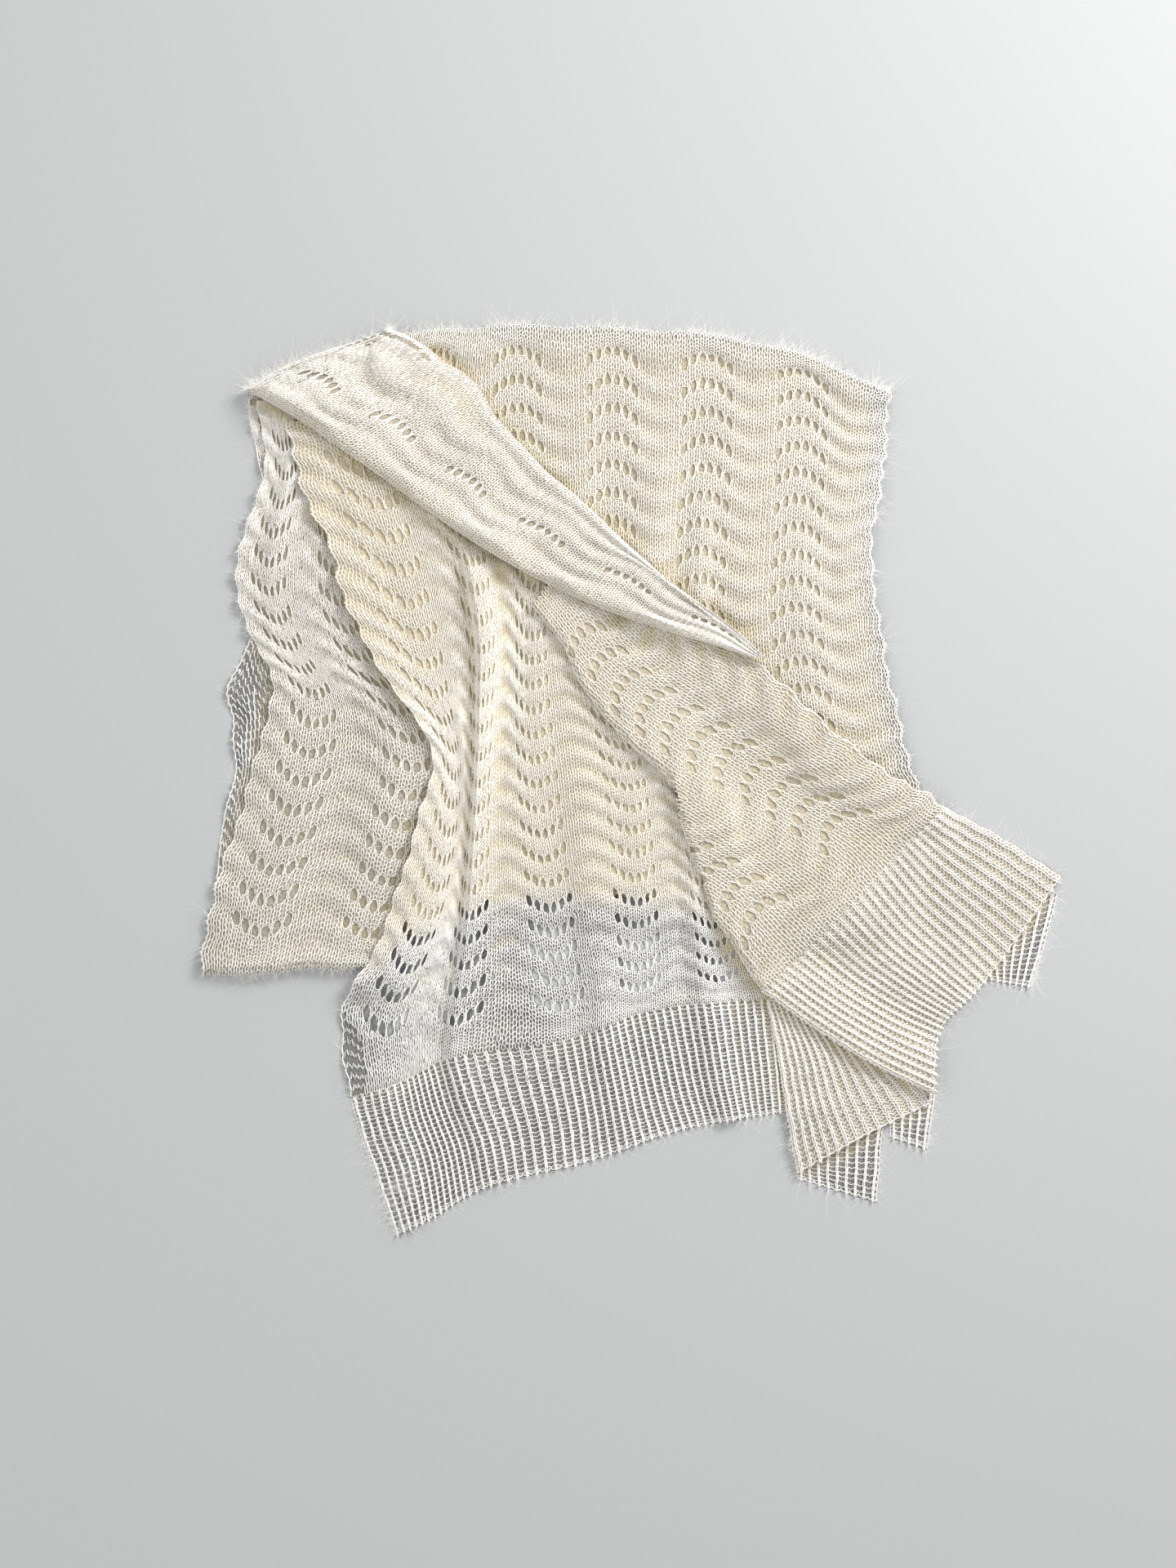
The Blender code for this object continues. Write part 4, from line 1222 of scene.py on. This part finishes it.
            drawn, bump, thin, thick = (0.35, 0.15, 0.9, 1.35) if self.warmth[0] < 0.3 else (0.12, 0.4, 1.15, 1.25)
            u = np.where(purl, low + order / BENDS, u) + 0.5
            u = u + drawn * np.sin(np.pi * u) / np.pi
            v = np.where(purl, courses[:, None] - 0.15 - bump * np.cos(angle), v)
            sunk = sunk + np.where(purl, 0.0002, 0.0)
            radius = radius * np.where(purl, thin, thick)
        u = (np.broadcast_to(u, shape) + 0.06 * uneven[0]) / per
        v = (v + 0.08 * uneven[1]) / self.courses
        if not self.ribs:
            u, v = self.opened(u, v)
        points = self.surface(u, v, np.broadcast_to(sunk, shape))
        small = 0.02
        ahead = self.surface(u, v + small, SHALLOW) - self.surface(u, v - small, SHALLOW)
        beside = self.surface(u + small, v, SHALLOW) - self.surface(u - small, v, SHALLOW)
        normals = unit(np.cross(beside, ahead))
        if normals[..., 2].mean() < 0.0:
            normals = -normals
        middle_u, middle_v = (u[:, 1:] + u[:, :-1]) / 2.0, (v[:, 1:] + v[:, :-1]) / 2.0
        keep = self.shows(middle_u, middle_v, (points[:, 1:] + points[:, :-1]) / 2.0)
        keep &= np.linalg.norm(points[:, 1:] - points[:, :-1], axis=2) < 0.006
        flat, quads = tube(points, normals, radius, keep)
        self.tops, self.tops_normals = points[:, :-1][keep], normals[:, :-1][keep]
        parts = int(np.ceil(len(quads) / MOST_QUADS))
        made = []
        half = len(quads) // 2
        cuts = np.linspace(0, half, parts + 1).astype(int)
        # Painted shade in the troughs between crests, with the painted tint by layer
        values = around.values(flat, np.repeat(1.0 - self.crest(u, v).ravel(), 3))
        for part in range(parts):
            mine = np.concatenate([quads[side * half + cuts[part]:side * half + cuts[part + 1]]
                                   for side in range(2)])
            suffix = f"_{part + 1}" if parts > 1 else ""
            made.append(mesh_piece(f"{self.node}_stitches{suffix}", flat, [mine], material, values))
        return made

    def shows(self, u: Array, v: Array, points: Array) -> Array:
        """Choose the spans of yarn that are made: on the cloth, off the eyelets, not covered.

        Args:
            u: Places across of the spans' middles.
            v: Places along.
            points: The middles.

        Returns:
            True for each span made.
        """
        first, last = self.limits(v)
        keep = u < last - 0.004
        keep &= u > first + (-0.9 / STITCHES if Side.FIRST_SIDE in self.folds else 0.004)
        keep &= v > (-0.2 if Side.FIRST_ROW in self.folds else -0.5 / self.courses)
        keep &= v < self.rows + (0.2 if Side.LAST_ROW in self.folds else 0.45 / self.courses)
        across, along, _ = self.eyelet(u, v)
        keep &= np.hypot(across, along) > 0.86
        return keep & self.in_sight(points)

    def in_sight(self, points: Array) -> Array:
        """Tell which places lie neither deep under later groups nor past the sheet's end.

        Args:
            points: The places.

        Returns:
            True for each in sight.
        """
        seen = ~self.covered[cell_numbers(points[..., 0] - SHIFT[0], points[..., 1] - SHIFT[1])]
        if self.hidden:
            seen &= ~within(self.hidden, points[..., 0], points[..., 1])
        return seen

    def edging(self, around: Surroundings, material: bpy.types.Material) -> bpy.types.Object | None:
        """Make the chained strand along each open border, a zigzag carried just inside it.

        Args:
            around: The finished heap.
            material: The yarn's finish.

        Returns:
            The object, or None where every border is folded or hidden.
        """
        lines = []
        length = self.rows * self.courses
        v = np.linspace(0.02, self.rows - 0.02, length * 3)
        swing = np.sin(np.arange(len(v)) * 2.1)
        first, last = self.limits(v)
        if Side.FIRST_SIDE not in self.folds:
            lines.append((first + 0.012 + 0.008 * swing, v))
        lines.append((last - 0.012 + 0.008 * swing, v))
        low, high = self.widest
        u = np.linspace(low + 0.01, high - 0.01, int((high - low) * 54))
        swing = 0.03 * np.sin(np.arange(len(u)) * 2.1)
        if Side.LAST_ROW not in self.folds and self.ribs:
            lines.append((u, self.rows - 0.05 + swing))
        pieces, faces, start = [], [], 0
        for across, along in lines:
            across, along = across[None], along[None]
            points = self.surface(across, along, 0.0004)
            keep = self.in_sight(points[:, 1:])
            up = np.zeros(points.shape)
            up[..., 2] = 1.0
            flat, quads = tube(points, up, np.full(points.shape[:2], YARN * 1.35), keep)
            pieces.append(flat)
            faces.append(quads + start)
            start += len(flat)
        flat, quads = np.concatenate(pieces), np.concatenate(faces)
        if not len(quads):
            return None
        return mesh_piece(self.node + "_edging", flat, [quads], material, around.values(flat))


@dataclass
class HiddenLayers:
    """The layers folded away inside, as one stack with a rounded lip for each layer."""

    node: str = "folded_core"
    lips: int = 3
    height: float = 0.0050
    points_round: int = 260
    lip_depth: float = 0.0016

    def build(self, around: Surroundings, material: bpy.types.Material) -> bpy.types.Object:
        """Make the stack: the plan's outline set in by each lip's half circle, then closed.

        Args:
            around: The finished heap.
            material: Its finish.

        Returns:
            The object.
        """
        outline = np.array(CORE, float) * MM + SHIFT
        closed = np.concatenate((outline, outline[:1]))
        at = np.arange(self.points_round) * len(outline) / self.points_round
        count = len(at)
        knots = np.broadcast_to(np.arange(len(closed), dtype=float), (count, len(closed)))
        fine = soft_curve(np.broadcast_to(closed, (count, *closed.shape)), knots, at)
        forward = unit(np.roll(fine, -1, axis=0) - np.roll(fine, 1, axis=0))
        inward = np.stack((forward[:, 1], -forward[:, 0]), axis=1)
        lip = self.height / self.lips
        steps = np.arange(self.lips * 6 + 1) / 6.0
        turn = (steps % 1.0) * np.pi
        layer = np.floor(steps.clip(0, self.lips - 0.01))
        inset = 0.0004 + self.lip_depth * layer + self.lip_depth * (1.0 - np.sin(turn))
        rings = fine[None] + inward[None] * inset[:, None, None]
        tall = (steps * lip).clip(0.0, self.height)[:, None, None]
        tall = np.broadcast_to(tall, (*rings.shape[:2], 1))
        points = np.concatenate((rings, tall), axis=2).reshape(-1, 3)
        ring, place = np.meshgrid(np.arange(len(steps) - 1), np.arange(count), indexing="ij")
        a = (ring * count + place).ravel()
        b = (ring * count + (place + 1) % count).ravel()
        quads = np.stack((b, a, a + count, b + count), axis=1)
        last = (len(steps) - 1) * count
        caps = np.stack((np.arange(count), last + np.arange(count)[::-1]))
        return mesh_piece("folded_layers", points, [quads, caps], material, around.values(points))


@dataclass
class Halo:
    """Mohair fibres that stand off the yarn, and longer stray hairs past the outline."""

    short: int = 14000
    fringe: int = 8500
    stray: int = 1300
    width: float = 0.00013

    def build(self, tops: Array, normals: Array, around: Surroundings, outward: Array,
              edge: Array, material: bpy.types.Material,
              chance: np.random.Generator) -> list[bpy.types.Object]:
        """Grow ribbons from places on the yarn, each a curve that bends as its square.

        Args:
            tops: Places on the yarn.
            normals: The cloth's normals there.
            around: The finished heap.
            outward: Direction out of the outline at each place, shape (n, 2).
            edge: How near each place is to the outline, from 0 to 1.
            material: The halo's finish.
            chance: Seeded source.

        Returns:
            The short halo, the fuzz along the outline and the stray hairs.
        """
        made = []
        right = 1.0 + 1.6 * (tops[:, 0] > 0.1)
        for name, number, spans, longest, weight in (
            ("mohair_halo", self.short, 3, 0.008, np.ones(len(edge))),
            ("edge_fuzz", self.fringe, 3, 0.010, edge**2 + 0.002),
            ("stray_hairs", self.stray, 8, 0.027, edge**2 * right + 0.001),
        ):
            picked = chance.choice(len(tops), number, p=weight / weight.sum())
            root, up = tops[picked], normals[picked]
            lean = unit(chance.normal(0.0, 1.0, (number, 3)) * (1.0, 1.0, 0.25))
            out = np.column_stack((outward[picked], np.zeros(number))) * edge[picked, None]
            heading = unit(lean * 0.8 + up * 0.45 + out * 0.9)
            bend = unit(np.cross(heading, up + 0.01)) * chance.normal(0.0, 0.7, (number, 1))
            length = longest * (0.35 + 0.65 * chance.random((number, 1, 1)) ** 2)
            part = np.linspace(0.0, 1.0, spans + 1)[None, :, None]
            wave = np.sin(part * 5.0 + chance.random((number, 1, 1)) * 6.0) * 0.10 * (part > 0)
            curl = (bend[:, None] * part + wave * bend[:, None]) * part
            line = root[:, None] + length * (heading[:, None] * part + curl)
            line[..., 2] -= length[..., 0] * 0.25 * part[..., 0] ** 2
            line = np.clip(line, CAD_BOX[0] - HAIR_ROOM, CAD_BOX[1] + HAIR_ROOM)
            line[..., 2] = np.maximum(line[..., 2], 2.0 * LEAST_HEIGHT)
            side = unit(np.cross(heading, (0.0, 0.0, 1.0)))[:, None]
            side = side * (self.width / 2.0) * (1.0 - 0.6 * part)
            points = np.stack((line - side, line + side), axis=2).reshape(-1, 3)
            start = (np.arange(number)[:, None] * (spans + 1) + np.arange(spans)).ravel() * 2
            quads = np.stack((start, start + 1, start + 3, start + 2), axis=1)
            made.append(mesh_piece(name, points, [quads], material, around.values(points)))
        return made


@dataclass(frozen=True)
class Lamp:
    """A soft round light that shines at the scarf's middle."""

    name: str
    place: tuple[float, float, float]
    size: float
    power: float
    colour: tuple[float, float, float]


LAMPS = (
    Lamp("key_light", (1.40, 1.35, 1.35), 0.9, 51.0, (1.0, 0.985, 0.965)),
    Lamp("fill_light", (-1.6, -0.6, 2.0), 2.0, 8.0, (0.98, 0.99, 1.0)),
)


@dataclass
class Studio:
    """Pale floor, soft light from the upper right and a camera that looks straight down."""

    high: float = 2.4
    frame_height: float = 1.344
    middle: tuple[float, float] = (-0.03684, -0.00259)
    film: float = 36.0
    floor_reach: float = 6.0
    floor_colour: tuple[float, float, float] = (0.47, 0.48, 0.49)

    def build(self) -> None:
        """Make the floor, the lights, the world's pale light and the camera."""
        scene = bpy.context.scene
        far = self.floor_reach
        floor_mesh = bpy.data.meshes.new("floor")
        floor_mesh.from_pydata([(-far, -far, 0), (far, -far, 0), (far, far, 0), (-far, far, 0)],
                               [], [(0, 1, 2, 3)])
        floor = bpy.data.objects.new("floor", floor_mesh)
        pale, _ = new_surface("pale_floor", {"Base Color": (*self.floor_colour, 1.0),
                                             "Roughness": 0.9, "Specular IOR Level": 0.1})
        floor.data.materials.append(pale)
        scene.collection.objects.link(floor)
        for lamp in LAMPS:
            light = bpy.data.lights.new(lamp.name, "AREA")
            light.shape, light.size = "DISK", lamp.size
            light.energy, light.color = lamp.power, lamp.colour
            source = bpy.data.objects.new(lamp.name, light)
            source.location = lamp.place
            source.rotation_euler = (-source.location).to_track_quat("-Z", "Y").to_euler()
            scene.collection.objects.link(source)
        scene.world = bpy.data.worlds.new("studio")
        scene.world.use_nodes = True
        sky = scene.world.node_tree.nodes["Background"]
        sky.inputs["Color"].default_value = (1.0, 0.995, 0.98, 1.0)
        sky.inputs["Strength"].default_value = 0.78
        lens = bpy.data.cameras.new("camera")
        lens.sensor_fit, lens.sensor_height = "VERTICAL", self.film
        lens.lens = self.film * self.high / self.frame_height
        camera = bpy.data.objects.new("camera", lens)
        camera.location = (*self.middle, self.high)
        scene.collection.objects.link(camera)
        scene.camera = camera
        scene.view_settings.view_transform = "Standard"


class Scarf:
    """The whole folded scarf, its stretches in groups from the floor up."""

    def __init__(self) -> None:
        """List the stretches, those of a group side by side on the same ground."""
        floor_fold = (Base.FLOOR, 0.0045, 1.5)
        wing_fold = {Side.FIRST_SIDE: (Base.CLOTH, 0.006, 0.9)}
        self.groups: tuple[tuple[Stretch, ...], ...] = (
            (Stretch("left_under_layer", UNDER, UNDER_STATIONS, 9, (0.04, 0.42), ("floor",),
                     on_floor=True),),
            (Stretch("left_panel", LEFT, LEFT_STATIONS, 20, (0.12, 0.47), ("folded_core",),
                     pleats=LEFT_PLEATS + LEFT_CREASES, hidden=LEFT_HIDDEN,
                     folds={Side.LAST_ROW: floor_fold}, eyelet_rows=(1, 18), warmth=(0.4, 0.5)),),
            (Stretch("back_panel", BACK, BACK_STATIONS, 17, (0.30, 0.34), ("folded_core",),
                     arc=-0.42, pleats=BACK_PLEATS + BACK_CREASES, hidden=BACK_HIDDEN,
                     folds={Side.FIRST_ROW: floor_fold}, eyelet_rows=(1, 16)),),
            (Stretch("center_panel", CENTER, CENTER_STATIONS, 22, (0.26, 0.44),
                     ("left_panel", "folded_core"), pleats=CENTER_PLEATS + CENTER_CREASES,
                     hidden=CENTER_HIDDEN, eyelet_rows=(1, 20), warmth=(0.0, 1.1)),
             Stretch("center_hem", CENTER_HEM, CENTER_STATIONS, 3, (0.40, 0.12), ("floor",),
                     ribs=56, courses=10, pleats=CENTER_HEM_PLEATS, hidden=HEM_HIDDEN)),
            (Stretch("lower_tail", LOWER_TAIL, TAIL_STATIONS, 2, (0.07, 0.055), ("floor",),
                     ribs=9, courses=7),
             Stretch("middle_tail", MIDDLE_TAIL, TAIL_STATIONS, 1, (0.04, 0.045), ("floor",),
                     ribs=5, courses=10),
             Stretch("upper_tail", UPPER_TAIL, TAIL_STATIONS, 2, (0.07, 0.06), ("floor",),
                     ribs=8, courses=8)),
            (Stretch("hem_turn", HEM_TURN, TURN_STATIONS, 6, (0.09, 0.15), ("center_hem",),
                     ribs=13, pleats=TURN_PLEATS, warmth=(0.4, 0.5)),),
            (Stretch("wing_panel", WING, WING_STATIONS, 14, (0.15, 0.37),
                     ("center_panel", "folded_core"), arc=-0.46, ripple=1.6,
                     pleats=WING_PLEATS + WING_CREASES, hidden=WING_HIDDEN,
                     folds=wing_fold, eyelet_rows=(2, 12), warmth=(0.65, 0.8)),
             Stretch("wing_hem", WING_HEM, HEM_STATIONS, 5, (0.21, 0.16),
                     ("hem_turn", "upper_tail"), ribs=30, courses=7,
                     pleats=WING_HEM_PLEATS, warmth=(0.5, 0.65), folds=wing_fold)),
            (Stretch("band", BAND, BAND_STATIONS, 5, (0.50, 0.12),
                     ("back_panel", "center_panel"), arc=0.22, pleats=BAND_PLEATS, ripple=1.1,
                     warmth=(0.45, 0.6), soft_start=2.6, belly=0.007, eyelet_rows=(2, 2),
                     folds={Side.FIRST_ROW: (Base.CLOTH, 0.010, 3.2),
                            Side.LAST_ROW: (Base.CLOTH, 0.0075, 3.2),
                            Side.FIRST_SIDE: (Base.FLOOR, 0.010, 1.5)}),),
        )

    def cover(self, heap: HeapMap) -> tuple[Array, Array]:
        """Mark, for each stretch, the ground deep under later groups.

        Args:
            heap: Maps, for their cells.

        Returns:
            Where any cloth lies, and how many layers lie there.
        """
        covered = np.zeros(GRID)
        x, y = ((np.arange(count) + 0.5) * CELL - half for count, half in zip(GRID, HEAP_HALF))
        x, y = np.meshgrid(x + SHIFT[0], y + SHIFT[1], indexing="ij")
        layers = within(CORE, x, y).astype(float)
        for group in reversed(self.groups):
            filled = 1.0 - heap.spread(1.0 - heap.spread(covered, 0.008), 0.008 + 0.007)
            for stretch in group:
                stretch.covered = filled > 0.5
            for stretch in group:
                x, y, _ = heap.cells(stretch.node)
                one = np.zeros(GRID)
                one[x, y] = 1.0
                layers += one
                covered = np.maximum(covered, one)
        return covered, layers

    def build(self) -> None:
        """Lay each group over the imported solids, then knit it and grow its halo."""
        chance = np.random.default_rng(SEED)
        yarn, ground, hair = (finish.material()
                              for finish in (YARN_FINISH, GROUND_PAINTED_SHADE, HALO_FINISH))
        heap = HeapMap()
        outline, layers = self.cover(heap)
        heap.add("folded_core")
        many = heap.mean(np.clip(layers - 1.0, 0.0, 1.0), 0.010)
        for group in self.groups:
            heap.settle()
            for stretch in group:
                stretch.read_borders(heap)
            for stretch in group:
                heap.add(stretch.node)
        around = Surroundings(heap.mean(heap.mean(heap.top, 0.012), 0.012), many)
        hidden = HiddenLayers()
        stack = hidden.build(around, ground)
        self.attach(stack, hidden.node)
        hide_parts(hidden.node)
        tops, normals = [], []
        for stretch in (one for group in self.groups for one in group):
            # Each stretch sets the range of its painted tint
            around.warmth = stretch.warmth
            sheet = stretch.cloth(around, ground)
            self.attach(sheet, stretch.node)
            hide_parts(stretch.node)
            strands = stretch.knit(around, yarn, chance)
            edging = stretch.edging(around, yarn)
            strands += [edging] if edging else []
            for strand in strands:
                self.attach(strand, stretch.node)
            tops.append(stretch.tops)
            normals.append(stretch.tops_normals)
        around.warmth = PLAIN_WARMTH
        tops, normals = np.concatenate(tops), np.concatenate(normals)
        near = heap.mean(heap.mean(outline, 0.006), 0.006)
        slope = np.stack(np.gradient(near), axis=-1)
        out = np.stack([-heap.read(slope[..., axis], tops[:, 0], tops[:, 1])
                        for axis in (0, 1)], axis=1)
        edge = ease((1.0 - heap.read(near, tops[:, 0], tops[:, 1])) * 2.2)
        for fuzz in Halo().build(tops, normals, around, unit(out), edge, hair, chance):
            self.attach(fuzz, "center_panel")

    @staticmethod
    def attach(piece: bpy.types.Object, slot: str) -> None:
        """Let a piece ride on the scarf and be reported.

        Args:
            piece: The piece.
            slot: The material slot that it stands for; not used.
        """
        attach(piece, "root")
        count = sum(len(face.vertices) - 2 for face in piece.data.polygons)
        log.info("%s: %d triangles", piece.name, count)


def main() -> None:
    """Build the studio and the scarf."""
    logging.basicConfig(level=logging.INFO, format="%(name)s %(message)s")
    Studio().build()
    Scarf().build()


if __name__ == "__main__":
    main()
